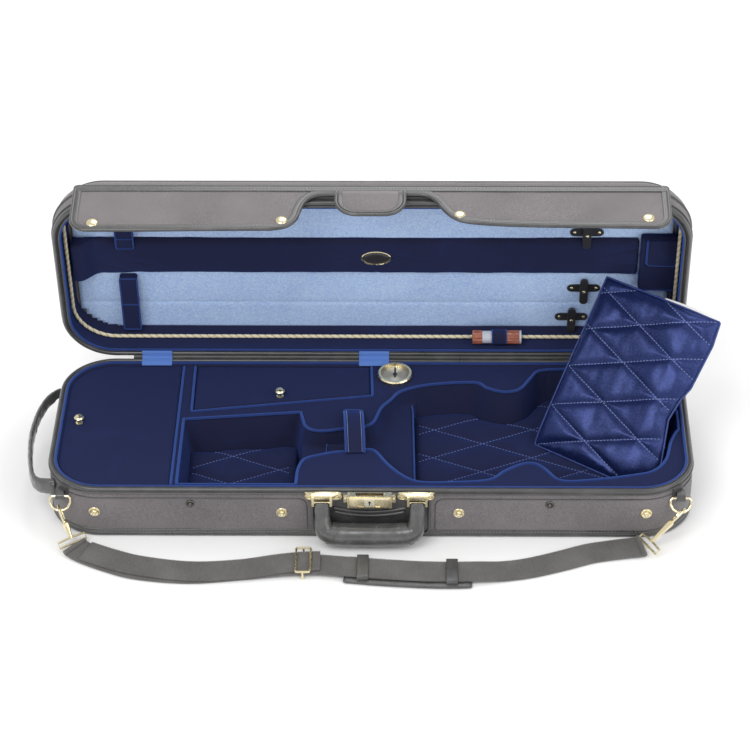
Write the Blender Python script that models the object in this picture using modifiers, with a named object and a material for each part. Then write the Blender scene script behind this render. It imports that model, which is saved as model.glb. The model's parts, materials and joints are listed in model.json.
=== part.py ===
"""Violin case, standing open on a floor: a padded oblong base and a lid on three rear hinges.

Lengths below are millimetres, turned into metres as each mesh is made. The origin is the centre of
the base's underside, +X runs along the case to the viewer's right, +Y goes to the hinges, +Z is up.
Lid pieces are drawn in the closed lid's own frame (x, minus the distance from the hinge, depth above
the hinge) and hang from an empty on the hinge axis that opens them.
"""

import math

import bmesh
import bpy
from mathutils import Matrix, Vector

MM = 0.001

# The case
LENGTH = 800.0
WIDTH = 266.0
CORNER = 66.0
WALL = 8.0
FLOOR = 6.0
BED_TOP = 70.0
RIM_TOP = 75.0
RIM_RING = 9.0
RIM_ROUND = 3.0
GAP = 0.3

# The lid
OPEN_DEG = 82.65
HINGE_Y = 134.3
HINGE_Z = 75.2
LID_DEPTH = 52.0
LID_ROUND = 20.0
LID_WALL = 4.0
CEILING = 46.0

# Hinges
HINGE_X = {"left": -281.0, "middle": 1.5, "right": 281.0}
LEAF_HALF = 19.0
BARREL_R = 2.0
BORE_R = 1.03
PIN_R = 0.95

# The instrument bed
POCKET_FLOOR = 12.0
TAPER = 10.0
CHANNEL_FLOOR = 45.0
DOOR_LEDGE = 65.0
END_DOOR_X = -246.0
MIDDLE_DOOR_Y = 121.5

# Bow clips: distance along the lid, then from the hinge
CLIPS = ((258.0, 34.0), (272.0, 85.0), (272.0, 181.0), (258.0, 232.0))

# Carrying gear
HANDLE_Y = -141.0
HANDLE_Z = 61.0
HANDLE_X = 58.5
RING_X = 382.2
RING_Y = -124.5
RING_Z = 56.0
END_HANDLE_X = -403.5
END_HANDLE_Z = 52.0

# The folded blanket: lower left corner, along its bottom edge, up its side, thickness
BLANKET_CORNER = Vector((211.8, 19.8, 41.7))
BLANKET_ALONG = Vector((0.815, -0.580, 0.0)).normalized()
BLANKET_UP = Vector((0.397, 0.558, 0.729)).normalized()
BLANKET_SIZE = (158.0, 205.0, 7.0)
BLANKET_AXIS_POINT = Vector((276.8, 62.0, 46.3))

for old in list(bpy.data.objects):
    bpy.data.objects.remove(old)

CASE = bpy.data.collections.new("violin_case")
HELPERS = bpy.data.collections.new("cutters")
for group in (CASE, HELPERS):
    bpy.context.scene.collection.children.link(group)


# ---------------------------------------------------------------- materials


def material(name, colour, metallic=0.0, rough=0.6):
    """A plain Principled surface."""
    made = bpy.data.materials.new(name)
    made.use_nodes = True
    shader = made.node_tree.nodes["Principled BSDF"]
    shader.inputs["Base Color"].default_value = (*colour, 1.0)
    shader.inputs["Metallic"].default_value = metallic
    shader.inputs["Roughness"].default_value = rough
    return made


CANVAS = ((0.09, 0.085, 0.085), 0.0, 0.85)
LEATHER = ((0.018, 0.018, 0.018), 0.0, 0.35)
VELVET = ((0.018, 0.025, 0.085), 0.0, 0.9)
SATIN = ((0.27, 0.40, 0.70), 0.0, 0.5)
BLANKET_CLOTH = ((0.012, 0.03, 0.17), 0.0, 0.4)
BRASS = ((0.80, 0.65, 0.30), 1.0, 0.25)
BLACK = ((0.03, 0.03, 0.032), 0.0, 0.35)
WEBBING = ((0.06, 0.058, 0.056), 0.0, 0.8)
ROPE = ((0.78, 0.72, 0.52), 0.0, 0.7)
PLASTIC = ((0.30, 0.08, 0.05), 0.0, 0.4)


# ---------------------------------------------------------------- outlines


def arc(cx, cy, r, start, end, steps):
    """Points on a circle between two angles in degrees, both ends included."""
    turns = [math.radians(start + (end - start) * i / steps) for i in range(steps + 1)]
    return [(cx + r * math.cos(t), cy + r * math.sin(t)) for t in turns]


def rounded(x0, x1, y0, y1, radii, steps=8):
    """A counter-clockwise rectangle; radii run from the corner at x1, y1 round to x1, y0."""
    ne, nw, sw, se = radii if isinstance(radii, tuple) else (radii,) * 4
    corners = (
        (x1 - ne, y1 - ne, ne, 0),
        (x0 + nw, y1 - nw, nw, 90),
        (x0 + sw, y0 + sw, sw, 180),
        (x1 - se, y0 + se, se, 270),
    )
    points = []
    for cx, cy, r, start in corners:
        points += arc(cx, cy, r, start, start + 90, steps) if r else [(cx, cy)]
    return points


def case_outline(inside=0.0):
    """The case's plan, moved in from its outer face."""
    half_x = LENGTH / 2 - inside
    half_y = WIDTH / 2 - inside
    return rounded(-half_x, half_x, -half_y, half_y, CORNER - inside)


def lid_outline(inside=0.0):
    """The same plan in the lid's frame, where y counts back from the hinge."""
    return [(x, y - HINGE_Y) for x, y in case_outline(inside)]


def through(points, steps=3):
    """An open smooth line through the points."""
    ends = [points[0], *points, points[-1]]
    line = []
    for a, b, c, d in zip(ends, ends[1:], ends[2:], ends[3:]):
        for i in range(steps):
            t = i / steps
            line.append(
                tuple(
                    0.5 * (2 * q + (r - p) * t + (2 * p - 5 * q + 4 * r - s) * t * t
                           + (3 * q - p - 3 * r + s) * t ** 3)
                    for p, q, r, s in zip(a, b, c, d)
                )
            )
    return [*line, tuple(points[-1])]


def inset(points, distance):
    """A counter-clockwise outline moved inwards, mitred at its corners."""
    moved = []
    for i, here in enumerate(points):
        before = Vector(points[i - 1])
        after = Vector(points[(i + 1) % len(points)])
        here = Vector(here)
        one = (here - before).normalized()
        two = (after - here).normalized()
        n1 = Vector((-one.y, one.x))
        n2 = Vector((-two.y, two.x))
        share = max(0.4, 1.0 + n1.dot(n2))
        moved.append(tuple(here + (n1 + n2) * (distance / share)))
    return moved


# ---------------------------------------------------------------- solids


def new_object(name, bm, look=None, parent=None):
    """An object from a bmesh: a visible piece when it has a look, otherwise a hidden helper."""
    bmesh.ops.scale(bm, vec=(MM, MM, MM), verts=bm.verts)
    mesh = bpy.data.meshes.new(name)
    bm.to_mesh(mesh)
    bm.free()
    obj = bpy.data.objects.new(name, mesh)
    obj.parent = parent
    if look is None:
        HELPERS.objects.link(obj)
        obj.hide_render = True
        obj.display_type = "WIRE"
    else:
        CASE.objects.link(obj)
        mesh.materials.append(material(name, *look))
    return obj


def loft(name, sections, look=None, parent=None, ring=False):
    """Outlines stacked at their heights; a ring closes on itself in place of having end caps."""
    bm = bmesh.new()
    loops = [[bm.verts.new((x, y, z)) for x, y in outline] for outline, z in sections]
    pairs = list(zip(loops, loops[1:]))
    if ring:
        pairs.append((loops[-1], loops[0]))
    for low, high in pairs:
        for i in range(len(low)):
            j = (i + 1) % len(low)
            bm.faces.new((low[i], low[j], high[j], high[i]))
    if not ring:
        bm.faces.new(list(reversed(loops[0])))
        bm.faces.new(loops[-1])
    return new_object(name, bm, look, parent)


def box(name, x0, x1, y0, y1, z0, z1, look=None, parent=None, round_by=0.0):
    """A box between two corners."""
    obj = loft(name, [([(x0, y0), (x1, y0), (x1, y1), (x0, y1)], z) for z in (z0, z1)], look, parent)
    if round_by:
        soften(obj, round_by)
    return obj


def plate(name, outline, start, end, look=None, parent=None):
    """An outline in x and z, given a thickness along y."""
    bm = bmesh.new()
    back = [bm.verts.new((x, end, z)) for x, z in outline]
    face = bm.faces.new(list(reversed(back)))
    moved = bmesh.ops.extrude_face_region(bm, geom=[face])["geom"]
    verts = [item for item in moved if isinstance(item, bmesh.types.BMVert)]
    bmesh.ops.translate(bm, vec=(0.0, start - end, 0.0), verts=verts)
    bmesh.ops.recalc_face_normals(bm, faces=bm.faces)
    return new_object(name, bm, look, parent)


def turned(name, profile, at, look=None, parent=None, steps=24):
    """A profile of radius and height turned round the vertical through a point."""
    bm = bmesh.new()
    turns = [math.tau * i / steps for i in range(steps)]
    loops = []
    for r, z in profile:
        if r == 0:
            loops.append([bm.verts.new((at[0], at[1], at[2] + z))])
            continue
        loops.append(
            [bm.verts.new((at[0] + r * math.cos(t), at[1] + r * math.sin(t), at[2] + z)) for t in turns]
        )
    for low, high in zip(loops, loops[1:]):
        for i in range(steps):
            j = (i + 1) % steps
            corners = [low[i % len(low)], low[j % len(low)], high[j % len(high)], high[i % len(high)]]
            bm.faces.new(list(dict.fromkeys(corners)))
    bmesh.ops.recalc_face_normals(bm, faces=bm.faces)
    obj = new_object(name, bm, look, parent)
    if look is not None:
        obj.data.shade_smooth()
    return obj


def sweep(name, path, section, up, look=None, parent=None, cyclic=False, scale=None):
    """A closed section (sideways, upwards) carried along a path whose frame keeps to one up."""
    path = [Vector(p) for p in path]
    up = Vector(up)
    bm = bmesh.new()
    loops = []
    for i, here in enumerate(path):
        before = path[i - 1] if cyclic or i else here
        after = path[(i + 1) % len(path)] if cyclic or i + 1 < len(path) else here
        forward = (after - before).normalized()
        side = forward.cross(up).normalized()
        rise = side.cross(forward)
        wide, tall = scale[i] if scale else (1.0, 1.0)
        loops.append([bm.verts.new(here + side * (a * wide) + rise * (b * tall)) for a, b in section])
    pairs = list(zip(loops, loops[1:]))
    if cyclic:
        pairs.append((loops[-1], loops[0]))
    for low, high in pairs:
        for i in range(len(low)):
            j = (i + 1) % len(low)
            bm.faces.new((low[i], low[j], high[j], high[i]))
    if not cyclic:
        bm.faces.new(list(reversed(loops[0])))
        bm.faces.new(loops[-1])
    bmesh.ops.recalc_face_normals(bm, faces=bm.faces)
    obj = new_object(name, bm, look, parent)
    if look is not None:
        obj.data.shade_smooth()
    return obj


def disc(r, sides=10):
    """A round section."""
    return [(r * math.cos(math.tau * i / sides), r * math.sin(math.tau * i / sides)) for i in range(sides)]


def oval(a, b, sides=16):
    """An oval section."""
    return [(a * math.cos(math.tau * i / sides), b * math.sin(math.tau * i / sides)) for i in range(sides)]


def slab(half_width, half_height):
    """A flat section."""
    return [(-half_width, -half_height), (half_width, -half_height), (half_width, half_height),
            (-half_width, half_height)]


def rod(name, x0, x1, y, z, r, look=None, parent=None, sides=24):
    """A round bar along x."""
    return sweep(name, [(x0, y, z), (x1, y, z)], disc(r, sides), (0, 0, 1), look, parent)


def soften(obj, width, segments=2, angle=40):
    """Rounds the sharp edges."""
    made = obj.modifiers.new("round", "BEVEL")
    made.width = width * MM
    made.segments = segments
    made.limit_method = "ANGLE"
    made.angle_limit = math.radians(angle)


def combine(obj, other, operation, folded=False):
    """Adds or removes a helper solid; folded lets its tapered walls cross one another."""
    made = obj.modifiers.new(other.name, "BOOLEAN")
    made.operation = operation
    made.solver = "EXACT"
    made.use_self = folded
    made.object = other


def hang(obj, pivot):
    """Puts the object's origin on its joint axis without moving the shape."""
    pivot = Vector(pivot) * MM
    obj.data.transform(Matrix.Translation(-pivot))
    obj.location = pivot
    return obj


# ---------------------------------------------------------------- base


def build_base_shell():
    shell = loft(
        "base_shell",
        [(case_outline(5.0), 0.0), (case_outline(1.5), 1.5), (case_outline(), 5.0), (case_outline(), BED_TOP)],
        CANVAS,
    )
    combine(shell, loft("shell_hollow", [(case_outline(WALL), FLOOR), (case_outline(WALL), BED_TOP + 5)]),
            "DIFFERENCE")


def build_base_rim():
    low = BED_TOP + GAP
    loft(
        "base_rim",
        [
            (case_outline(), low),
            (case_outline(), RIM_TOP - RIM_ROUND),
            (case_outline(RIM_ROUND * 0.3), RIM_TOP - RIM_ROUND * 0.3),
            (case_outline(RIM_ROUND), RIM_TOP),
            (case_outline(RIM_RING - 1.0), RIM_TOP),
            (case_outline(RIM_RING), RIM_TOP - 1.0),
            (case_outline(RIM_RING), low),
        ],
        LEATHER,
        ring=True,
    )


FRONT_EDGE = [(-90, -92), (-87, -78), (-79, -66), (-47, -55), (-30, -53), (-5, -49), (6, -53),
              (20, -76), (39, -99), (60, -112), (95, -113), (146, -108), (166, -91), (188, -77), (204, -76),
              (216, -86), (234, -108), (269, -108), (324, -98), (351, -89), (368, -66), (376, -32),
              (384, -12)]
REAR_EDGE = [(388, 30), (384, 36), (378, 52), (368, 76), (351, 98), (324, 110), (269, 118), (238, 118),
             (214, 114), (203, 98), (189, 76), (170, 70), (148, 78), (131, 90), (74, 85), (37, 71), (23, 52),
             (11, 35), (2, 7), (-12, -3), (-33, -6), (-58, -11), (-75, -9), (-84, 0)]


def instrument_outline():
    """The one opening for scroll box, neck channel and body, counter-clockwise from the scroll box."""
    corners = [(-239, 12), (-239, -118), (-91, -118)]
    return [*corners, *through(FRONT_EDGE, 2), (388, -8), *through(REAR_EDGE, 2), (-90, 27)]


def build_instrument_bed():
    bed = loft("instrument_bed", [(case_outline(WALL + GAP), FLOOR + GAP), (case_outline(WALL + GAP), BED_TOP)],
               VELVET)
    opening = instrument_outline()
    combine(bed, loft("instrument_hollow", [(inset(opening, TAPER), POCKET_FLOOR), (opening, BED_TOP + 1.0)]),
            "DIFFERENCE", folded=True)
    neck_plinth = [(-86, -117), (52, -117), (50, 84), (30, 74), (8, 44), (-4, 14), (-14, 6), (-88, 6)]
    combine(bed, loft("neck_plinth", [(neck_plinth, FLOOR + 3.0), (neck_plinth, CHANNEL_FLOOR)]), "UNION")
    recess = rounded(-420.0, END_DOOR_X, -160.0, 160.0, 0)
    combine(bed, loft("end_door_recess", [(recess, DOOR_LEDGE), (recess, BED_TOP + 5)]), "DIFFERENCE")
    well = rounded(-381.0, -256.0, -113.0, 113.0, (0, 46, 46, 0))
    combine(bed, loft("end_well", [(well, POCKET_FLOOR), (well, BED_TOP + 5)]), "DIFFERENCE")
    recess = [(-229.3, 140), (-228.2, 28), (-1.0, 61), (-3.0, 140)]
    combine(bed, loft("middle_door_recess", [(recess, DOOR_LEDGE), (recess, BED_TOP + 5)]), "DIFFERENCE")
    well = [(-221.0, 114), (-220.0, 38.5), (-11.0, 69), (-12.5, 114)]
    combine(bed, loft("middle_well", [(well, POCKET_FLOOR), (well, BED_TOP + 5)]), "DIFFERENCE")


def build_bed_cushions():
    opening = instrument_outline()
    floor = inset(opening, TAPER)
    bay = [p for p in floor if p[0] > 56] + [(56.0, 70.0), (56.0, -97.0)]
    loft("bay_quilt", [(inset(bay, 2.5), POCKET_FLOOR + GAP), (inset(bay, 1.6), POCKET_FLOOR + 3),
                       (inset(bay, 1.6), 25.0), (inset(bay, 4.5), 27.0)], VELVET)
    scroll = [(-227.0, -106.0), (-103.0, -106.0), (-99.0, 12.0), (-227.0, -1.0)]
    loft("scroll_quilt", [(inset(scroll, 1.0), POCKET_FLOOR + GAP), (scroll, POCKET_FLOOR + 3), (scroll, 23.5),
                          (inset(scroll, 3.0), 25.0)], VELVET)
    rest = box("neck_rest", -57, -4, -43.5, -19.5, CHANNEL_FLOOR + GAP, 57.0, VELVET)
    combine(rest, rod("neck_groove", -70, 10, -31.0, 63.5, 11.0), "DIFFERENCE")


def build_front_fittings():
    panel = plate("handle_panel", rounded(-72.0, 75.0, 5.5, 69.0, (2, 2, 9, 9), 4), -135.3, -133.3, LEATHER)
    soften(panel, 0.6)
    case = box("lock_case", -27, 27, -145.0, -135.6, 55.5, 73.5, BRASS)
    combine(case, box("lock_ears", -32, 32, -139.0, -135.6, 59.5, 71.0), "UNION")
    combine(case, box("catch_slot", -17, 17, -142.8, -136.9, 60.0, 76.0), "DIFFERENCE")
    combine(case, box("slide_slot", -14, 14, -148.0, -143.9, 57.5, 71.5), "DIFFERENCE")
    slide = plate("lock_slide", rounded(-7.5, 7.5, 58.1, 70.9, 1.5, 3), -145.9, -144.2, BRASS)
    combine(slide, rod_y("keyhole", 0.0, 65.5, 1.7, -148.0, -142.0), "DIFFERENCE")
    hang(slide, (0.0, -145.0, 64.5))
    for side, sign in (("left", -1), ("right", 1)):
        outline = [(sign * x, z) for x, z in ((33.5, 67.5), (36, 63.2), (43, 62.2), (74, 62.2), (80, 67.5),
                                              (77.5, 73.0), (40, 73.0), (35.5, 72.4))]
        if sign > 0:
            outline.reverse()
        mount = plate("handle_mount_" + side, outline, -137.6, -135.6, BRASS)
        for edge in (HANDLE_X - 12.6, HANDLE_X + 9.6):
            cheek = box("mount_cheek", *sorted((sign * edge, sign * (edge + 3.0))), -145.0, -136.0, 57.5, 72.0)
            combine(mount, cheek, "UNION")
            bore = rod("mount_bore", sign * HANDLE_X - 14, sign * HANDLE_X + 14, HANDLE_Y, HANDLE_Z, 1.6)
            combine(mount, bore, "DIFFERENCE")
    build_carry_handle()


def rod_y(name, x, z, r, y0, y1):
    """A round cutter along y."""
    return sweep(name, [(x, y0, z), (x, y1, z)], disc(r, 16), (0, 0, 1))


def build_carry_handle():
    half = [(HANDLE_X, -141.2, 61.6), (HANDLE_X, -143.2, 53.0), (HANDLE_X - 0.3, -145.6, 43.0),
            (HANDLE_X - 1.0, -149.0, 33.0), (HANDLE_X - 4.0, -151.3, 25.4), (HANDLE_X - 12.5, -152.5, 20.8),
            (HANDLE_X - 25.5, -152.7, 19.4)]
    growth = [(0.52, 0.31), (0.62, 0.40), (0.67, 0.55), (0.74, 0.75), (0.88, 0.9), (0.98, 0.97), (1.0, 1.0)]
    middle = [(12.0, -152.9, 19.2), (-12.0, -152.9, 19.2)]
    path = [*half, *middle, *[(-x, y, z) for x, y, z in reversed(half)]]
    grow = [*growth, (1.02, 1.02), (1.02, 1.02), *reversed(growth)]
    handle = sweep("carry_handle", path, oval(13.6, 13.6), (0, -1, 0.2), LEATHER, scale=grow)
    for sign in (-1, 1):
        pin = rod("handle_pin", sign * HANDLE_X - 12.3, sign * HANDLE_X + 12.3, HANDLE_Y, HANDLE_Z, 1.45)
        combine(handle, pin, "UNION")
    hang(handle, (0.0, HANDLE_Y, HANDLE_Z))


def build_ring_tabs():
    for side, sign in (("left", -1), ("right", 1)):
        turn = math.radians(-50.0)
        out = Vector((math.cos(turn), math.sin(turn)))
        along = Vector((-out.y, out.x))
        centre = Vector((LENGTH / 2 - CORNER, -(WIDTH / 2 - CORNER)))
        corners = [centre + out * (CORNER + d) + along * s for d, s in ((0.5, -6.5), (3.5, -6.5), (3.5, 7.5), (0.5, 7.5))]
        outline = [(sign * p.x, p.y) for p in corners]
        if sign < 0:
            outline.reverse()
        tab = loft("ring_tab_" + side, [(outline, 58.5), (outline, 69.0)], LEATHER)
        x = sign * RING_X
        combine(tab, rod("ring_loop", x - 5.5, x + 5.5, RING_Y, RING_Z, 4.6), "UNION")
        arm = box("ring_arm", x - 5.0, x + 5.0, RING_Y - 2.0, RING_Y + 8.5, RING_Z + 2.6, RING_Z + 8.0)
        combine(tab, arm, "UNION")
        combine(tab, loft("corner_clear", [(case_outline(-0.3), 40.0), (case_outline(-0.3), 75.0)]), "DIFFERENCE")
        combine(tab, rod("ring_bore", x - 30, x + 30, RING_Y, RING_Z, 2.3), "DIFFERENCE")


def build_hygrometer():
    turned("hygrometer_case", [(0, GAP), (22.5, GAP), (22.5, 5.2), (21.3, 7.0), (18.6, 7.0), (18.0, 2.6),
                               (2.0, 2.6), (1.2, 3.4), (0, 3.4)], (29.0, 101.0, BED_TOP), BRASS, steps=40)
    needle = box("hygrometer_needle", 27.9, 30.1, 94.5, 115.0, BED_TOP + 3.8, BED_TOP + 4.4, BLACK)
    combine(needle, turned("needle_hub", [(0, 3.7), (2.6, 3.7), (2.6, 4.9), (0, 4.9)], (29.0, 101.0, BED_TOP)),
            "UNION")
    hang(needle, (29.0, 101.0, BED_TOP + 4.1))


KNOB = [(0, GAP), (4.6, GAP), (4.6, 1.4), (2.4, 2.4), (2.1, 5.0), (4.0, 6.6), (6.2, 8.2), (6.2, 9.6), (4.6, 11.3),
        (0, 12.0)]


def build_doors():
    outline = rounded(-389.5, END_DOOR_X - 1.0, -122.5, 122.5, (0, 55.5, 55.5, 0))
    door = loft("end_door", [(outline, DOOR_LEDGE + GAP), (outline, BED_TOP)], VELVET)
    hang(door, (END_DOOR_X - 0.5, 0.0, BED_TOP))
    knob = turned("end_door_knob", KNOB, (-370.0, 2.0, BED_TOP), BRASS)
    hang(knob, (END_DOOR_X - 0.5, 0.0, BED_TOP))
    outline = [(-4.0, MIDDLE_DOOR_Y), (-228.0, MIDDLE_DOOR_Y), (-227.0, 29.4), (-2.4, 62.0)]
    door = loft("middle_door", [(outline, DOOR_LEDGE + GAP), (outline, BED_TOP)], VELVET)
    hang(door, (-115.0, MIDDLE_DOOR_Y + 0.4, BED_TOP))
    knob = turned("middle_door_knob", KNOB, (-118.0, 58.0, BED_TOP), BRASS)
    hang(knob, (-115.0, MIDDLE_DOOR_Y + 0.4, BED_TOP))


def build_neck_strap():
    run = through([(-58.0, 72.0), (-50.0, 75.5), (-38.0, 80.5), (-22.0, 84.0), (-4.0, 84.0), (10.0, 80.0),
                   (20.0, 74.5), (26.0, 72.0)], 2)
    strap = sweep("neck_strap", [(-20.5, y, z) for y, z in run], slab(12.5, 1.2), (0, 0, 1), VELVET)
    hang(strap, (-20.5, -58.0, 71.0))


# ---------------------------------------------------------------- strap and end handle


def build_end_handle():
    run = through([(END_HANDLE_X, 88.0), (-410.0, 84.0), (-420.0, 68.0), (-428.0, 40.0), (-431.5, 0.0),
                   (-429.0, -40.0), (-423.0, -72.0), (-413.0, -92.0), (END_HANDLE_X - 0.5, -97.0)], 3)
    run = [(x, y, END_HANDLE_Z - 0.10 * (END_HANDLE_X - x)) for x, y in run]
    handle = sweep("end_handle", run, oval(3.0, 9.0, 12), (0, 0, 1), LEATHER)
    hang(handle, (END_HANDLE_X, 0.0, END_HANDLE_Z))


def build_rings_and_hooks():
    for side, sign in (("left", -1), ("right", 1)):
        x = sign * RING_X
        down = Vector((0.0, -0.5, -0.866))
        start = Vector((x, RING_Y, RING_Z))
        shape = [(-10.0, 0.0), (-3.5, 0.0), (3.5, 0.0), (10.0, 0.0), (12.6, 2.6), (12.6, 8.0), (9.6, 14.0),
                 (4.8, 17.2), (0.0, 18.2), (-4.8, 17.2), (-9.6, 14.0), (-12.6, 8.0), (-12.6, 2.6)]
        path = [start + Vector((a, 0, 0)) + down * b for a, b in shape]
        ring = sweep("ring_" + side, path, disc(1.5, 8), Vector((1, 0, 0)).cross(down), BRASS, cyclic=True)
        hang(ring, start)
        build_hook(side, sign, start + down * 18.2)


HOOK_END = {"left": Vector((-366.0, -157.0, 6.5)), "right": Vector((341.0, -157.5, 6.5))}


def build_hook(side, sign, eye):
    """A swivel snap hook: a hooked body that catches the ring, a swivel neck and a strap loop."""
    axis = (HOOK_END[side] - eye).normalized()
    across = axis.cross(Vector((sign * 1.0, 0.0, 0.0))).normalized()
    across = across if across.z > 0 else -across
    length = (HOOK_END[side] - eye).length
    plan = [(0.0, 15.0), (5.8, 13.0), (8.0, 6.0), (7.2, -1.8), (0.0, -6.4), (-7.2, -1.8), (-8.0, 6.0),
            (-5.8, 13.0)]
    normal = axis.cross(across)
    path = [eye + axis * b + across * a for a, b in plan]
    hook = sweep("hook_" + side, path, disc(1.6, 8), normal, BRASS, cyclic=True)
    neck = sweep("hook_neck", [eye + axis * 14.0, eye + axis * 17.0, eye + axis * 21.0, eye + axis * (length - 7)],
                 disc(1.0, 10), across, scale=[(k, k) for k in (2.2, 4.2, 4.2, 2.0)])
    combine(hook, neck, "UNION")
    end = HOOK_END[side]
    width = Vector((-axis.y, axis.x, 0.0)).normalized()
    tilt = width.cross(axis)
    loop = [end + width * a + axis * b for a, b in ((-18.6, -1.0), (-18.2, -7.5), (0.0, -8.5), (18.2, -7.5),
                                                    (18.6, -1.0), (0.0, -1.0))]
    combine(hook, sweep("hook_loop", loop, disc(1.4, 8), tilt, cyclic=True), "UNION")
    hang(hook, eye)


STRAP_RUN = [(-364.0, -160.0, 3.2), (-350.0, -170.0, 2.4), (-320.0, -185.0, 1.9), (-282.0, -199.0, 1.9),
             (-220.0, -206.0, 1.9), (-159.0, -200.0, 2.1), (-110.0, -195.0, 5.2), (-81.0, -193.0, 5.6),
             (-60.0, -193.0, 5.8), (-36.0, -196.0, 6.3), (10.0, -201.0, 6.3), (60.0, -205.0, 6.3),
             (100.0, -206.0, 6.3), (132.0, -204.5, 6.0), (165.0, -200.0, 2.6), (197.0, -193.0, 1.9),
             (235.0, -180.0, 1.9), (270.0, -166.5, 1.9), (300.0, -160.0, 2.4), (334.0, -155.5, 4.2)]


def build_shoulder_strap():
    hub = (0.0, RING_Y, RING_Z)
    strap = sweep("shoulder_strap", through(STRAP_RUN, 2), slab(17.5, 1.4), (0, 0, 1), WEBBING)
    second = [(x, y + 2.0, z + 2.6) for x, y, z in STRAP_RUN[1:9]]
    combine(strap, sweep("strap_return", through(second, 2), slab(17.0, 1.4), (0, 0, 1)), "UNION")
    hang(strap, hub)
    run = [(-29.0, -198.0, 2.4), (10.0, -202.5, 2.4), (60.0, -206.5, 2.4), (100.0, -207.5, 2.4),
           (124.0, -206.5, 2.4)]
    pad = sweep("strap_pad", through(run, 2), slab(23.5, 1.9), (0, 0, 1), LEATHER)
    for x in (-8.0, 101.0):
        y = -199.0 if x < 0 else -206.0
        keeper = box("keeper", x - 7, x + 7, y - 21.5, y + 21.5, 3.6, 9.8)
        combine(pad, keeper, "UNION")
        combine(pad, box("keeper_hollow", x - 12, x + 12, y - 19.8, y + 19.8, 4.6, 8.3), "DIFFERENCE")
    hang(pad, hub)
    build_buckle()


def build_buckle():
    centre = Vector((-81.0, -192.0, 0.0))
    frame = [centre + Vector(p) for p in ((-9, -22, 12.5), (9, -22, 12.5), (9, 22, 12.5), (-9, 22, 12.5))]
    buckle = sweep("strap_buckle", mitred(frame, 2.5), disc(1.5, 8), (0, 0, 1), BRASS, cyclic=True)
    bar = [centre + Vector(p) for p in ((0, -22, 12.5), (0, -22, 1.9), (0, 22, 1.9), (0, 22, 12.5))]
    combine(buckle, sweep("buckle_bar", bar, disc(1.3, 8), (1, 0, 0)), "UNION")
    hang(buckle, centre)


def mitred(corners, cut):
    """A closed path with its corners cut."""
    path = []
    for i, here in enumerate(corners):
        before = (corners[i - 1] - here).normalized()
        after = (corners[(i + 1) % len(corners)] - here).normalized()
        path += [here + before * cut, here + (before + after) * (cut * 0.3), here + after * cut]
    return path


# ---------------------------------------------------------------- hinges


def build_hinges(lid):
    for side, x in HINGE_X.items():
        leaf = box("hinge_base_leaf_" + side, x - LEAF_HALF, x + LEAF_HALF, 133.3, 134.4, 50.0,
                   HINGE_Z - BARREL_R - 0.3, BRASS)
        combine(leaf, box("leaf_neck", x - 6, x + 6, 133.3, 134.4, 60.0, HINGE_Z - 1.2), "UNION")
        combine(leaf, rod("leaf_knuckle", x - 6, x + 6, HINGE_Y, HINGE_Z, BARREL_R), "UNION")
        combine(leaf, rod("leaf_bore", x - 25, x + 25, HINGE_Y, HINGE_Z, BORE_R), "DIFFERENCE")
        rod("hinge_pin_" + side, x - 19.5, x + 19.5, HINGE_Y, HINGE_Z, PIN_R, BRASS)
        leaf = box("hinge_lid_leaf_" + side, x - LEAF_HALF, x + LEAF_HALF, -1.0, 0.1, BARREL_R + 0.3, 26.0,
                   BRASS, lid)
        for sign in (-1, 1):
            ends = sorted((x + sign * 6.4, x + sign * LEAF_HALF))
            combine(leaf, box("leaf_neck", *ends, -1.0, 0.1, 1.2, 12.0, None, lid), "UNION")
            combine(leaf, rod("leaf_knuckle", *ends, 0.0, 0.0, BARREL_R, None, lid), "UNION")
        combine(leaf, rod("leaf_bore", x - 25, x + 25, 0.0, 0.0, BORE_R, None, lid), "DIFFERENCE")


# ---------------------------------------------------------------- lid


def build_lid_shell(lid):
    rim = 5.0
    edge = [(lid_outline(), rim + GAP), (lid_outline(), LID_DEPTH - LID_ROUND)]
    for turn in (22.5, 45.0, 67.5, 90.0):
        t = math.radians(turn)
        edge.append((lid_outline(LID_ROUND * (1 - math.cos(t))), LID_DEPTH - LID_ROUND * (1 - math.sin(t))))
    shell = loft("lid_shell", edge, CANVAS, lid)
    hollow = [(lid_outline(LID_WALL), 0.0), (lid_outline(LID_WALL), 36.0), (lid_outline(12.0), 48.0)]
    combine(shell, loft("lid_hollow", hollow, None, lid), "DIFFERENCE")
    loft(
        "lid_rim",
        [
            (lid_outline(RIM_RING), 1.1),
            (lid_outline(RIM_RING - 1.0), 0.1),
            (lid_outline(RIM_ROUND), 0.1),
            (lid_outline(RIM_ROUND * 0.3), 0.1 + RIM_ROUND * 0.3),
            (lid_outline(), 0.1 + RIM_ROUND),
            (lid_outline(), rim),
            (lid_outline(RIM_RING), rim),
        ],
        LEATHER,
        lid,
        ring=True,
    )
    lining = [
        (lid_outline(LID_WALL + GAP), rim + GAP),
        (lid_outline(LID_WALL + GAP), 35.7),
        (lid_outline(11.0), 45.7),
        (lid_outline(14.5), 45.7),
        (lid_outline(9.3), 35.7),
        (lid_outline(9.3), rim + GAP),
    ]
    loft("lid_wall_lining", lining, VELVET, lid, ring=True)
    loft("lid_panel", [(lid_outline(12.5), CEILING), (lid_outline(12.5), CEILING + 1.6)], SATIN, lid)


def lid_box(name, x0, x1, w0, w1, d0, d1, look=None, parent=None, round_by=0.0):
    """A box in the lid's frame: along the lid, from the hinge, and depth above the rim."""
    return box(name, x0, x1, -w1, -w0, d0, d1, look, parent, round_by)


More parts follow.
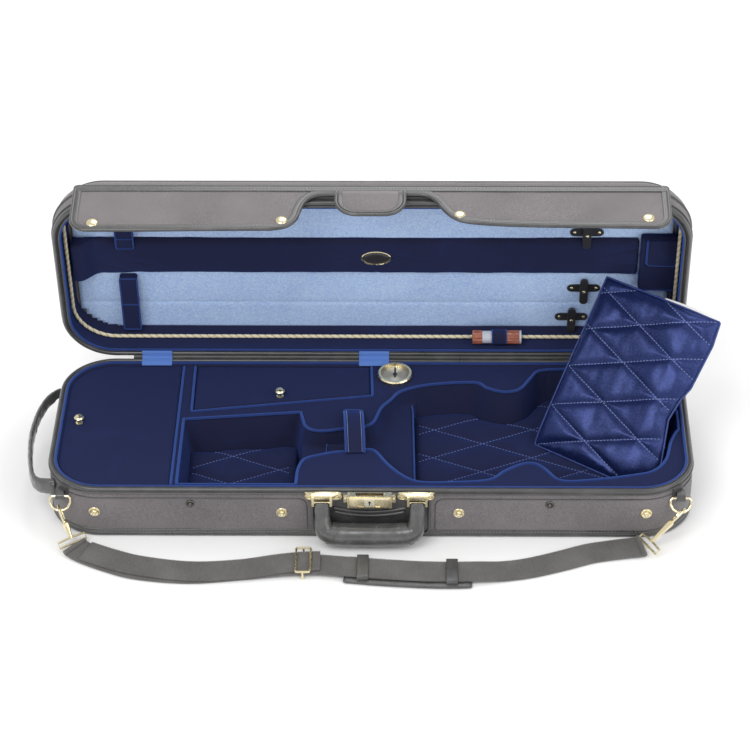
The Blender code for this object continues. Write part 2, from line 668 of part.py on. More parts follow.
def build_lid_fittings(lid):
    back = CEILING - GAP
    lid_box("bow_beam", -383, 340, 111, 173, 40.0, back, VELVET, lid, 2.0)
    lower = lid_box("tip_holder_lower", -326, -303, 16.4, 108.7, 34.0, back, VELVET, lid)
    for w in (20.0, 66.0):
        combine(lower, lid_box("tip_tunnel", -330, -300, w, w + 37, 37.0, 43.0, None, lid), "DIFFERENCE")
    upper = lid_box("tip_holder_upper", -326, -303, 173.3, 251.0, 34.0, back, VELVET, lid)
    combine(upper, lid_box("tip_overhang", -326, -303, 158.0, 175.0, 34.0, 39.6, None, lid), "UNION")
    for w in (178.0, 214.0):
        combine(upper, lid_box("tip_tunnel", -330, -300, w, w + 32, 37.0, 43.0, None, lid), "DIFFERENCE")
    pocket = lid_box("lid_end_pocket", 340.5, 384.8, 89, 179.5, 32.0, back, VELVET, lid)
    combine(pocket, lid_box("pocket_hollow", 344, 381.3, 93, 175.5, 35.0, 43.0, None, lid), "DIFFERENCE")
    combine(pocket, lid_box("pocket_mouth", 345, 380, 131, 135, 30.0, 38.0, None, lid), "DIFFERENCE")
    for number, (x, w) in enumerate(CLIPS, 1):
        outline = arc(x + 15.5, -w, 6.0, -90, 90, 6) + arc(x - 15.5, -w, 6.0, 90, 270, 6)
        clip = loft("bow_clip_plate_%d" % number, [(outline, 42.2), (outline, back)], BLACK, lid)
        boss = arc(x, -w, 5.5, 0, 345, 23)
        combine(clip, loft("clip_boss", [(boss, 38.3), (boss, 44.0)], None, lid), "UNION")
        outline = arc(x, -w + 15.7, 5.3, 0, 180, 6) + arc(x, -w - 15.7, 5.3, 180, 360, 6)
        button = loft("bow_button_%d" % number, [(outline, 34.5), (outline, 38.0)], BLACK, lid)
        hang(button, (x, -w, 36.0))
    build_cord(lid)


def build_cord(lid):
    half_x = LENGTH / 2 - 12.2
    low = HINGE_Y - WIDTH / 2 + 12.2
    r = CORNER - 12.2
    far = low + WIDTH - 24.4
    run = [*arc(-half_x + r, -far + r, r, 215, 180, 4), (-half_x, -120.0)]
    run += arc(-half_x + r, -low - r, r, 180, 90, 8)
    run += [(x, -low) for x in (-240, -120, 0, 120, 240)]
    run += arc(half_x - r, -low - r, r, 90, 0, 8)
    run += [(half_x, -120.0), *arc(half_x - r, -far + r, r, 0, -35, 4)]
    sweep("cord", [(x, y, 26.0) for x, y in run], disc(2.4, 8), (0, 0, 1), ROPE, lid)
    tube = [(129.0, 9.0), (142.0, 9.0), (142.4, 8.2), (172.6, 8.2), (173.0, 9.0), (193.0, 9.0)]
    humidifier = sweep("humidifier", [(x, -21.5, 17.0) for x, _ in tube], disc(1.0, 20), (0, 0, 1), PLASTIC,
                       lid, scale=[(r, r) for _, r in tube])
    hang(humidifier, (161.0, -21.5, 17.0))


# ---------------------------------------------------------------- front flap and catch


def build_flap(lid):
    front = -(HINGE_Y + WIDTH / 2)
    half = through([(58.0, 18.0), (67.0, 16.5), (75.0, 11.0), (82.0, 2.0), (86.5, -9.0), (90.0, -22.0),
                    (96.0, -37.0), (106.0, -47.5), (122.0, -50.0)], 2)
    bottom_corner = arc(347.0, -30.0, 20.0, 270, 360, 5)
    right = [*half, *bottom_corner, (367.0, 23.0)]
    outline = [*right, *[(-x, z) for x, z in reversed(right)]]
    flap = plate("front_flap", outline, front - 6.4, front - 3.9, CANVAS, lid)
    hang(flap, (0.0, front - 3.2, 24.0))
    profile = through([(-5.2, 15.0), (-8.0, 11.0), (-13.0, 4.0), (-16.4, -4.0), (-17.2, -14.0), (-17.3, -28.0),
                       (-17.3, -41.7)], 2)
    tab = sweep("lock_tab", [(0.0, front + y, z) for y, z in profile], slab(42.0, 1.1), (0, -1, 0), CANVAS, lid)
    shape = [(42.0, 20.0), *reversed(arc(17.0, -16.7, 25.0, 270, 360, 6)),
             *reversed(arc(-17.0, -16.7, 25.0, 180, 270, 6)), (-42.0, 20.0)]
    combine(tab, plate("tab_outline", shape, front - 30, front + 10, None, lid), "INTERSECT")
    hang(tab, (0.0, front - 5.2, 15.4))
    catch = box("lid_catch", -15, 15, front - 2.3, front - 0.3, 0.9, 15.0, BRASS, lid)
    combine(catch, box("catch_step", -15, 15, front - 7.5, front - 1.0, 0.9, 3.6, None, lid), "UNION")
    combine(catch, box("catch_tongue", -13, 13, front - 7.5, front - 5.0, -11.0, 3.0, None, lid), "UNION")


# ---------------------------------------------------------------- blanket


def build_blanket():
    width, height, thick = BLANKET_SIZE
    face = BLANKET_ALONG.cross(BLANKET_UP)
    turn = Matrix((BLANKET_ALONG, BLANKET_UP, face)).transposed().to_4x4()
    outline = rounded(0.0, width, 0.0, height, 5.0, 3)
    sections = [(inset(outline, 2.5), -thick / 2), (outline, -thick / 2 + 3), (outline, thick / 2 - 3),
                (inset(outline, 2.5), thick / 2)]
    blanket = loft("blanket", sections, BLANKET_CLOTH)
    blanket.data.transform(Matrix.Translation(BLANKET_CORNER * MM) @ turn)
    hang(blanket, BLANKET_AXIS_POINT)


def main():
    lid = bpy.data.objects.new("lid_axis", None)
    CASE.objects.link(lid)
    lid.location = (0.0, HINGE_Y * MM, HINGE_Z * MM)
    lid.rotation_euler = (math.radians(-OPEN_DEG), 0.0, 0.0)
    build_base_shell()
    build_base_rim()
    build_instrument_bed()
    build_bed_cushions()
    build_front_fittings()
    build_ring_tabs()
    build_hygrometer()
    build_doors()
    build_neck_strap()
    build_end_handle()
    build_rings_and_hooks()
    build_shoulder_strap()
    build_hinges(lid)
    build_lid_shell(lid)
    build_lid_fittings(lid)
    build_flap(lid)
    build_blanket()


main()
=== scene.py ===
"""The looks of an open violin case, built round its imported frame.

Lengths in the modelling calls are millimetres. Pieces of the lid are drawn in the closed lid's own
frame (x, minus the distance from the hinge, depth above the hinge) and then opened with it.
"""

import json
import math

import bmesh
import bpy
import numpy as np
from mathutils import Matrix, Vector, noise


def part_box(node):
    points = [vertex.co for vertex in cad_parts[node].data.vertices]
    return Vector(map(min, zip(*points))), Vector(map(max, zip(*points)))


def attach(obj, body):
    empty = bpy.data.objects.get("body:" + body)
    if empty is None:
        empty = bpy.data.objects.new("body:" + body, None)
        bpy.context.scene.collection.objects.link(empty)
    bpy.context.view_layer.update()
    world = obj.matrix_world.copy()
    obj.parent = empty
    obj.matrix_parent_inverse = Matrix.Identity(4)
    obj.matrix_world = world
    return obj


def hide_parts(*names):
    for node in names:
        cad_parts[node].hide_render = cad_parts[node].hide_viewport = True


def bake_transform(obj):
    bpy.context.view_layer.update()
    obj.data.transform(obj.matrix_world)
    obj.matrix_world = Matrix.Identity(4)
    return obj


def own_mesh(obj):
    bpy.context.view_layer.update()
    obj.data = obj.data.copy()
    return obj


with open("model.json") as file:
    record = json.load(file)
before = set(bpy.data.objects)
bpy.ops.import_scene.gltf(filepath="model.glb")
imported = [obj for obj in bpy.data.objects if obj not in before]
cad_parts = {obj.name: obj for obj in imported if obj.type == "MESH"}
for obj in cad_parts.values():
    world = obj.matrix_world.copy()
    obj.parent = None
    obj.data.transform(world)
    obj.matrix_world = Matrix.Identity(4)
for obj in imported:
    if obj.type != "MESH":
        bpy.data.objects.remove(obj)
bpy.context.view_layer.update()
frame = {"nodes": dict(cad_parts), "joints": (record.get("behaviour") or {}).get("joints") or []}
NODES = frame["nodes"]
JOINTS = {joint["name"]: joint for joint in frame["joints"]}
MM = 0.001


def span(node):
    """A node's lowest and highest corner, in millimetres."""
    low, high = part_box(node)
    return Vector(low) / MM, Vector(high) / MM


# ---------------------------------------------------------------- driving sizes

SHELL_HIGH = span("base_shell")[1]
HALF_X = SHELL_HIGH.x
HALF_Y = SHELL_HIGH.y
CORNER = 66.0
BED_TOP = SHELL_HIGH.z
RIM_TOP = span("base_rim")[1].z
HINGE = Vector(JOINTS["lid_hinge"]["pos_m"]) / MM
OPEN = math.radians(JOINTS["lid_hinge"]["range_deg"][0])
LID = Matrix.Translation(HINGE * MM) @ Matrix.Rotation(OPEN, 4, "X")
LID_FRONT = -(HINGE.y + HALF_Y)
HINGE_X = [JOINTS["lid_hinge"]["pos_m"][0] / MM + x for x in (-281.0, 1.5, 281.0)]
QUILT_SLOPE = 0.45


# ---------------------------------------------------------------- materials


class Look:
    """A node material while it is being wired."""

    def __init__(self, name, tilt=0.0):
        self.made = bpy.data.materials.new(name)
        self.made.use_nodes = True
        self.tree = self.made.node_tree
        self.shader = self.tree.nodes["Principled BSDF"]
        source = self.tree.nodes.new("ShaderNodeTexCoord")
        self.place = self.turned(source.outputs["Object"], tilt)
        self.facing = self.turned(source.outputs["Normal"], tilt)

    def turned(self, socket, tilt):
        if not tilt:
            return socket
        node = self.tree.nodes.new("ShaderNodeMapping")
        node.inputs["Rotation"].default_value = (tilt, 0.0, 0.0)
        self.tree.links.new(socket, node.inputs["Vector"])
        return node.outputs["Vector"]

    def put(self, node, key, value):
        socket = node.inputs[key]
        if isinstance(value, bpy.types.NodeSocket):
            self.tree.links.new(value, socket)
        elif isinstance(value, tuple) and len(value) == 3 and socket.type == "RGBA":
            socket.default_value = (*value, 1.0)
        else:
            socket.default_value = value

    def math(self, operation, a, b=0.0):
        node = self.tree.nodes.new("ShaderNodeMath")
        node.operation = operation
        self.put(node, 0, a)
        self.put(node, 1, b)
        return node.outputs[0]

    def noise(self, scale, detail=3.0, rough=0.55, warp=0.0):
        node = self.tree.nodes.new("ShaderNodeTexNoise")
        self.put(node, "Vector", self.place)
        self.put(node, "Scale", scale)
        self.put(node, "Detail", detail)
        self.put(node, "Roughness", rough)
        self.put(node, "Distortion", warp)
        return node.outputs["Fac"]

    def cells(self, scale, feature="F1"):
        node = self.tree.nodes.new("ShaderNodeTexVoronoi")
        node.feature = feature
        self.put(node, "Vector", self.place)
        self.put(node, "Scale", scale)
        return node.outputs["Distance"]

    def steps(self, value, low, high, start=0.0, end=1.0):
        node = self.tree.nodes.new("ShaderNodeMapRange")
        for key, given in (("Value", value), ("From Min", start), ("From Max", end), ("To Min", low),
                           ("To Max", high)):
            self.put(node, key, given)
        return node.outputs["Result"]

    def mix(self, share, a, b):
        node = self.tree.nodes.new("ShaderNodeMix")
        node.data_type = "RGBA"
        self.put(node, "Factor", share)
        self.put(node, 6, a)
        self.put(node, 7, b)
        return node.outputs[2]

    # How far the surface turns edge-on to the view; the leather, velvet and black metal looks mix lighter
    # colour by it, a painted sheen.
    def edge_on(self, blend=0.4):
        node = self.tree.nodes.new("ShaderNodeLayerWeight")
        self.put(node, "Blend", blend)
        return node.outputs["Facing"]

    def threads(self, pitch):
        """Crossing threads, seen square on from each axis and mixed by which way the surface faces."""
        split = self.tree.nodes.new("ShaderNodeSeparateXYZ")
        self.tree.links.new(self.place, split.inputs[0])
        way = self.tree.nodes.new("ShaderNodeSeparateXYZ")
        self.tree.links.new(self.facing, way.inputs[0])
        waves = [self.math("SINE",
                           self.math("MULTIPLY", split.outputs[i], math.tau / pitch)) for i in range(3)]
        total = 0.0
        for i in range(3):
            crossed = self.math("MULTIPLY", waves[(i + 1) % 3], waves[(i + 2) % 3])
            weight = self.math("POWER", self.math("ABSOLUTE", way.outputs[i]), 2.0)
            total = self.math("ADD", self.math("MULTIPLY", crossed, weight), total)
        return total

    def relief(self, height, strength, distance):
        node = self.tree.nodes.new("ShaderNodeBump")
        self.put(node, "Height", height)
        self.put(node, "Strength", strength)
        self.put(node, "Distance", distance)
        if self.shader.inputs["Normal"].links:
            self.put(node, "Normal", self.shader.inputs["Normal"].links[0].from_socket)
        self.tree.links.new(node.outputs[0], self.shader.inputs["Normal"])

    def finish(self, **given):
        for key, value in given.items():
            self.put(self.shader, key.replace("_", " "), value)
        return self.made


def canvas_look(name, tilt, dark, light):
    look = Look(name, tilt)
    weave = look.threads(0.0011)
    heather = look.noise(900.0, 2.0)
    patches = look.noise(14.0, 3.0)
    share = look.math("ADD", look.math("MULTIPLY", heather, 0.9), look.math("MULTIPLY", patches, 0.35))
    colour = look.mix(look.steps(share, 0.0, 1.0, 0.35, 0.9), dark, light)
    colour = look.mix(look.steps(weave, 0.0, 0.35, -0.6, 0.9), colour, tuple(c * 1.5 for c in light))
    look.relief(weave, 0.35, 0.0002)
    look.relief(heather, 0.3, 0.0003)
    return look.finish(Base_Color=colour, Roughness=0.85, Sheen_Weight=0.25, Sheen_Roughness=0.5,
                       Specular_IOR_Level=0.25)


def leather_look(name="leather", shade=0.034, rough=0.30):
    look = Look(name)
    grain = look.cells(1500.0, "SMOOTH_F1")
    creases = look.noise(260.0, 4.0, 0.6, 0.4)
    scuffs = look.noise(38.0, 5.0, 0.65)
    # edge: lighter grey where the surface turns edge-on to the view, mixed into the colour below: painted
    # sheen.
    edge = look.edge_on(0.25)
    colour = look.mix(look.steps(scuffs, 0.0, 0.6, 0.45, 0.85), (shade,) * 3, (shade * 3.2,) * 3)
    colour = look.mix(look.math("MULTIPLY", edge, 0.5), colour, (0.17, 0.168, 0.165))
    look.relief(grain, 0.35, 0.0002)
    look.relief(creases, 0.25, 0.0003)
    return look.finish(Base_Color=colour, Roughness=look.steps(scuffs, rough - 0.05, rough + 0.16, 0.3, 0.8),
                       Specular_IOR_Level=0.7, Coat_Weight=0.4, Coat_Roughness=0.22)


def velvet_look(name, deep, sheen_tone, edge=0.6, blend=0.18, sheen=0.12):
    """Pile that lies dark face on, with painted sheen where the surface turns edge-on to the view, along
    rounded edges, and lighter patches where the nap is brushed.
    """
    look = Look(name)
    fibres = look.noise(2600.0, 2.0)
    nap = look.noise(16.0, 4.0, 0.6, 1.2)
    # rim: lighter blue where the pile turns edge-on to the view, as strong as the edge argument: painted
    # sheen.
    rim = look.edge_on(blend)
    brushed = look.steps(nap, 0.0, 0.08, 0.55, 0.85)
    share = look.math("MINIMUM", look.math("ADD", look.math("MULTIPLY", rim, edge), brushed), 1.0)
    colour = look.mix(share, deep, sheen_tone)
    colour = look.mix(look.steps(fibres, 0.0, 0.45, 0.45, 0.8), colour, tuple(c * 1.7 for c in deep))
    look.relief(fibres, 0.55, 0.0004)
    look.relief(nap, 0.12, 0.002)
    return look.finish(Base_Color=colour, Roughness=0.92, Specular_IOR_Level=0.08, Sheen_Weight=sheen,
                       Sheen_Roughness=0.4, Sheen_Tint=tuple(min(1.0, c * 3.0) for c in sheen_tone))


def satin_look(name, dark, light, tilt=0.0, metal=0.0, rough=0.42, pitch=0.0006):
    look = Look(name, tilt)
    weave = look.threads(pitch)
    slub = look.noise(420.0, 3.0)
    # cloud: large soft patches lightened towards the light tone: painted sheen, as on folds of the cloth.
    sheen_patches = look.noise(9.0, 3.0, 0.5, 0.6)
    colour = look.mix(look.steps(slub, 0.0, 1.0, 0.3, 0.75), dark, light)
    colour = look.mix(look.steps(sheen_patches, 0.0, 0.25, 0.4, 0.8), colour, tuple(c * 1.25 for c in light))
    look.relief(weave, 0.25, 0.0001)
    look.relief(slub, 0.12, 0.0002)
    return look.finish(Base_Color=colour, Metallic=metal, Roughness=rough, Sheen_Weight=0.3,
                       Sheen_Roughness=0.4,
                       Specular_IOR_Level=0.5, Anisotropic=0.5, Sheen_Tint=light)


def brass_look(name="brass", tone=(0.86, 0.76, 0.50), rough=0.22):
    look = Look(name)
    wipe = look.noise(120.0, 4.0, 0.7, 2.0)
    tarnish = look.noise(45.0, 3.0)
    colour = look.mix(look.steps(tarnish, 0.0, 0.5, 0.55, 0.85), tone, tuple(c * 0.62 for c in tone))
    look.relief(wipe, 0.05, 0.0002)
    return look.finish(Base_Color=colour, Metallic=1.0,
                       Roughness=look.steps(wipe, rough - 0.06, rough + 0.12, 0.3, 0.7))


def dark_metal_look():
    look = Look("black_metal")
    speckle = look.noise(900.0, 3.0)
    # Lighter where the surface turns edge-on to the view: painted sheen.
    painted_grazing_sheen = look.edge_on(0.2)
    colour = look.mix(look.math("MULTIPLY", painted_grazing_sheen, 0.6), (0.018, 0.018, 0.02), (0.12, 0.115, 0.11))
    look.relief(speckle, 0.2, 0.0001)
    return look.finish(Base_Color=colour, Roughness=look.steps(speckle, 0.28, 0.46), Specular_IOR_Level=0.6,
                       Coat_Weight=0.25, Coat_Roughness=0.2)


def webbing_look():
    look = Look("webbing")
    fluff = look.noise(1500.0, 2.0)
    fade = look.noise(22.0, 3.0)
    colour = look.mix(look.steps(fluff, 0.0, 1.0, 0.3, 0.8), (0.055, 0.053, 0.051), (0.19, 0.182, 0.175))
    colour = look.mix(look.steps(fade, 0.0, 0.3, 0.4, 0.8), colour, (0.26, 0.25, 0.24))
    look.relief(fluff, 0.5, 0.0003)
    return look.finish(Base_Color=colour, Roughness=0.82, Sheen_Weight=0.3, Specular_IOR_Level=0.25)


def thread_look(name, tone):
    look = Look(name)
    twist = look.noise(2200.0, 2.0)
    colour = look.mix(look.steps(twist, 0.0, 0.6, 0.35, 0.75), tone, tuple(c * 0.5 for c in tone))
    look.relief(twist, 0.4, 0.0002)
    return look.finish(Base_Color=colour, Roughness=0.6, Sheen_Weight=0.3)


def cap_look():
    look = Look("brown_plastic")
    swirl = look.noise(90.0, 3.0, 0.5, 1.5)
    colour = look.mix(look.steps(swirl, 0.0, 1.0, 0.3, 0.7), (0.22, 0.055, 0.03), (0.42, 0.14, 0.085))
    return look.finish(Base_Color=colour, Roughness=0.34, Coat_Weight=0.3, Coat_Roughness=0.15)


def tube_look():
    look = Look("frosted_tube")
    mist = look.noise(60.0, 3.0)
    colour = look.mix(mist, (0.86, 0.88, 0.93), (0.62, 0.68, 0.80))
    return look.finish(Base_Color=colour, Roughness=look.steps(mist, 0.12, 0.3), Transmission_Weight=0.35,
                       IOR=1.45)


def dial_look(centre):
    """Brass turned on a lathe: the brushing runs round the centre, and a painted shine fans out from it in a
    bright cross.
    """
    look = Look("dial_brass")
    split = look.tree.nodes.new("ShaderNodeSeparateXYZ")
    look.tree.links.new(look.place, split.inputs[0])
    across = look.math("SUBTRACT", split.outputs[0], centre.x * MM)
    along = look.math("SUBTRACT", split.outputs[1], centre.y * MM)
    turn = look.math("ARCTAN2", along, across)
    # fan: bright bands fanning out from the centre in a cross: painted reflection.
    painted_shine_fan = look.math("ABSOLUTE", look.math("SINE", turn))
    painted_shine_fan = look.math("POWER", painted_shine_fan, 5.0)
    reach = look.math("SQRT", look.math("ADD", look.math("MULTIPLY", across, across),
                                        look.math("MULTIPLY", along, along)))
    rings = look.math("SINE", look.math("MULTIPLY", reach, 3800.0))
    colour = look.mix(painted_shine_fan, (0.42, 0.37, 0.27), (1.0, 0.93, 0.70))
    colour = look.mix(look.steps(rings, 0.0, 0.35, -1.0, 1.0), colour, (0.28, 0.24, 0.17))
    look.relief(rings, 0.3, 0.0002)
    return look.finish(Base_Color=colour, Metallic=0.55, Roughness=0.3, Coat_Weight=0.6, Coat_Roughness=0.05)


def plain_look(name, tone, rough=0.5, speck=0.8):
    look = Look(name)
    grain = look.noise(500.0, 2.0)
    colour = look.mix(grain, tone, tuple(c * speck for c in tone))
    return look.finish(Base_Color=colour, Roughness=rough)


NAVY = (0.0165, 0.0182, 0.0470)
# The blue the velvet is lightened towards at grazing angles: painted sheen; it also tints the shader's sheen
# and the brushed nap.
SHEEN_BLUE = (0.040, 0.085, 0.34)
CANVAS = canvas_look("canvas", 0.0, (0.036, 0.033, 0.035), (0.230, 0.212, 0.220))
# The lid's copy of the canvas: its weave turned with the lid, and its dark tone made lighter: painted light.
LIT_LID_CANVAS = canvas_look("lit_lid_canvas", -OPEN, (0.060, 0.055, 0.057), (0.235, 0.215, 0.220))
LEATHER = leather_look()
# The grip's leather: glossier than the rest, and its black made lighter: painted highlight.
LIT_GRIP_LEATHER = leather_look("lit_grip_leather", 0.062, 0.20)
VELVET = velvet_look("velvet", NAVY, SHEEN_BLUE)
# Piping velvet: a brighter blue copy of the navy velvet, lightened more at grazing angles: painted sheen on
# the rolled edges.
SHEEN_PIPING = velvet_look("velvet_piping_painted_sheen", (0.020, 0.038, 0.15), (0.085, 0.18, 0.58), 0.9, 0.35)
TAB_VELVET = velvet_look("light_velvet", (0.10, 0.20, 0.52), (0.26, 0.42, 0.80), 0.5)
SATIN = satin_look("light_satin", (0.34, 0.48, 0.84), (0.60, 0.77, 0.97), -OPEN, 0.0, 0.5)
BLANKET_SATIN = satin_look("blanket_satin", (0.010, 0.017, 0.070), (0.028, 0.048, 0.19), 0.0, 0.6, 0.33)
WHITE_CLOTH = plain_look("white_flannel", (0.85, 0.85, 0.83), 0.9)
BRASS = brass_look()
BLACK = dark_metal_look()
WEBBING = webbing_look()
CREAM = thread_look("cream_cord", (0.86, 0.80, 0.60))
GOLD = thread_look("gold_cord", (0.72, 0.55, 0.25))
PALE_THREAD = thread_look("pale_thread", (0.10, 0.16, 0.48))
WHITE_THREAD = thread_look("white_thread", (0.26, 0.34, 0.66))
DARK_THREAD = thread_look("dark_thread", (0.20, 0.195, 0.19))
CAP_BROWN = cap_look()
FROST = tube_look()
STUD_DARK = brass_look("dark_stud", (0.16, 0.15, 0.14), 0.28)
# Black for print and the needle, and for the keyhole and its slot, where it stands in for the shade in the
# hole: painted shade.
INK_AND_HOLE_SHADE = plain_look("ink_and_hole_shade", (0.02, 0.02, 0.02), 0.4)


# ---------------------------------------------------------------- mesh building


def build(name, verts, faces, smooth=True, sharp=None):
    """A mesh object from points in millimetres, with its faces turned outwards."""
    mesh = bpy.data.meshes.new(name)
    mesh.from_pydata([tuple(v) for v in np.asarray(verts, float) * MM], [], [tuple(f) for f in faces])
    bm = bmesh.new()
    bm.from_mesh(mesh)
    bmesh.ops.recalc_face_normals(bm, faces=bm.faces)
    bm.to_mesh(mesh)
    bm.free()
    if smooth:
        mesh.shade_smooth()
    if sharp:
        mesh.set_sharp_from_angle(angle=math.radians(sharp))
    obj = bpy.data.objects.new(name, mesh)
    bpy.context.scene.collection.objects.link(obj)
    return obj


def place(obj, body, look, slot, *replaced, lid=False):
    """Opens a lid piece with the lid, then gives the piece its material and body; the slot is not used."""
    if lid:
        obj.data.transform(LID)
    obj.data.materials.clear()
    obj.data.materials.append(look)
    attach(obj, body)
    if replaced:
        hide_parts(*replaced)
    return obj


def arc(cx, cy, r, start, end, steps):
    turns = [math.radians(start + (end - start) * i / steps) for i in range(steps + 1)]
    return [(cx + r * math.cos(t), cy + r * math.sin(t)) for t in turns]


def rounded(x0, x1, y0, y1, r, steps=8):
    """A counter-clockwise rectangle with round corners."""
    corners = ((x1 - r, y1 - r, 0), (x0 + r, y1 - r, 90), (x0 + r, y0 + r, 180), (x1 - r, y0 + r, 270))
    return [p for cx, cy, start in corners for p in arc(cx, cy, r, start, start + 90, steps)]


def even(points, step, cyclic=False):
    """The same line with its points evenly spaced."""
    p = np.array(points, float)
    if cyclic:
        p = np.vstack([p, p[:1]])
    run = np.concatenate([[0.0], np.cumsum(np.linalg.norm(np.diff(p, axis=0), axis=1))])
    count = max(2, int(round(run[-1] / step)))
    at = np.linspace(0.0, run[-1], count + 1)
    made = np.stack([np.interp(at, run, p[:, k]) for k in range(p.shape[1])], 1)
    return made[:-1] if cyclic else made


def through(points, steps=4):
    """An open smooth line through the points."""
    ends = [points[0], *points, points[-1]]
    line = []
    for a, b, c, d in zip(ends, ends[1:], ends[2:], ends[3:]):
        for i in range(steps):
            t = i / steps
            line.append(tuple(0.5 * (2 * q + (r - p) * t + (2 * p - 5 * q + 4 * r - s) * t * t
                                     + (3 * q - p - 3 * r + s) * t ** 3) for p, q, r, s in zip(a, b, c, d)))
    return [*line, tuple(points[-1])]


def aside(points, distance, cyclic=False):
    """A plan line moved to its left."""
    p = np.array(points, float)[:, :2]
    ahead = np.roll(p, -1, 0) - np.roll(p, 1, 0) if cyclic else np.gradient(p, axis=0)
    ahead /= np.linalg.norm(ahead, axis=1)[:, None]
    return p + np.stack([-ahead[:, 1], ahead[:, 0]], 1) * distance


def lift(points, z):
    """Plan points given a height."""
    return np.column_stack([np.array(points, float)[:, :2], np.full(len(points), float(z))])


def disc(r, sides=10):
    return [(r * math.cos(math.tau * i / sides), r * math.sin(math.tau * i / sides)) for i in range(sides)]


def oval(a, b, sides=16, power=1.0):
    """An oval section; a power under 1 squares it up."""
    made = []
    for i in range(sides):
        c, s = math.cos(math.tau * i / sides), math.sin(math.tau * i / sides)
        made.append((a * math.copysign(abs(c) ** power, c), b * math.copysign(abs(s) ** power, s)))
    return made


def swept(path, section, up=(0, 0, 1), cyclic=False, scale=None):
    """Points and faces of a closed section carried along a path."""
    p = np.array(path, float)
    ahead = np.roll(p, -1, 0) - np.roll(p, 1, 0) if cyclic else np.gradient(p, axis=0)
    ahead /= np.linalg.norm(ahead, axis=1)[:, None]
    side = np.cross(ahead, np.broadcast_to(np.array(up, float), p.shape))
    side /= np.linalg.norm(side, axis=1)[:, None]
    rise = np.cross(side, ahead)
    sec = np.array(section, float)
    size = np.ones((len(p), 2)) if scale is None else np.array(scale, float)
    verts = (p[:, None] + side[:, None] * (sec[None, :, 0] * size[:, None, 0])[..., None]
             + rise[:, None] * (sec[None, :, 1] * size[:, None, 1])[..., None])
    n, k = len(p), len(sec)
    faces = []
    for i in range(n if cyclic else n - 1):
        a, b = i * k, ((i + 1) % n) * k
        faces += [(a + j, a + (j + 1) % k, b + (j + 1) % k, b + j) for j in range(k)]
    if not cyclic:
        faces.append(tuple(range(k - 1, -1, -1)))
        faces.append(tuple(range((n - 1) * k, n * k)))
    return verts.reshape(-1, 3), faces


def sweep(name, path, section, up=(0, 0, 1), cyclic=False, scale=None, sharp=50):
    return build(name, *swept(path, section, up, cyclic, scale), sharp=sharp)


def tube(name, path, r, up=(0, 0, 1), cyclic=False, sides=10):
    """A cord of one thickness with softly closed ends."""
    p = np.array(path, float)
    scale = None
    if not cyclic:
        scale = np.ones((len(p), 2))
        scale[0] = scale[-1] = 0.55
    return sweep(name, p, disc(r, sides), up, cyclic, scale, None)


def gathered(parts):
    """Several lists of points and faces as one."""
    verts, faces, count = [], [], 0
    for v, f in parts:
        verts.append(np.asarray(v, float))
        faces += [tuple(i + count for i in face) for face in f]
        count += len(v)
    return np.vstack(verts), faces


def loft(name, rings, closed=False, sharp=45):
    """Rings of equally many 3-D points joined in turn; unless closed, its two ends are capped."""
    k = len(rings[0])
    verts = np.vstack([np.asarray(r, float) for r in rings])
    faces = []
    for i in range(len(rings) if closed else len(rings) - 1):
        a, b = i * k, ((i + 1) % len(rings)) * k
        faces += [(a + j, a + (j + 1) % k, b + (j + 1) % k, b + j) for j in range(k)]
    if not closed:
        faces.append(tuple(range(k - 1, -1, -1)))
        faces.append(tuple(range((len(rings) - 1) * k, len(rings) * k)))
    return build(name, verts, faces, sharp=sharp)


def turned(name, profile, centre, axis=(0, 0, 1), sides=32, sharp=35, ribs=0, rib_depth=0.0):
    """A profile of radius and height turned round an axis; ribs flute it lengthwise."""
    turn = Vector((0, 0, 1)).rotation_difference(Vector(axis)).to_matrix()
    rings = []
    for r, z in profile:
        ring = []
        for i in range(sides):
            t = math.tau * i / sides
            reach = max(r, 0.01) - (rib_depth * (0.5 + 0.5 * math.cos(ribs * t)) if ribs and r > 1 else 0.0)
            ring.append(Vector(centre) + turn @ Vector((reach * math.cos(t), reach * math.sin(t), z)))
        rings.append(ring)
    return loft(name, rings, sharp=sharp)


def stitch_run(path, normal, length=2.4, gap=1.5, r=0.42):
    """Points and faces of a row of short stitches lying along a path."""
    p = np.array(path, float)
    run = np.concatenate([[0.0], np.cumsum(np.linalg.norm(np.diff(p, axis=0), axis=1))])
    up = np.array(normal, float)
    parts = []
    start = gap * 0.5
    while start + length < run[-1]:
        at = start + length * np.array([0.0, 0.2, 0.8, 1.0])
        spots = np.stack([np.interp(at, run, p[:, k]) for k in range(3)], 1)
        spots += up * (r * np.array([-0.6, 0.45, 0.45, -0.6]))[:, None]
        parts.append(swept(spots, disc(r, 6), up, scale=[(0.5, 0.5), (1, 1), (1, 1), (0.5, 0.5)]))
        start += length + gap
    return parts


def stitches(name, paths, normal=(0, 0, 1), **given):
    return build(name, *gathered([part for path in paths for part in stitch_run(path, normal, **given)]))


def baked(obj):
    """Applies the modifiers."""
    graph = bpy.context.evaluated_depsgraph_get()
    mesh = bpy.data.meshes.new_from_object(obj.evaluated_get(graph))
    obj.modifiers.clear()
    obj.data = mesh
    return obj


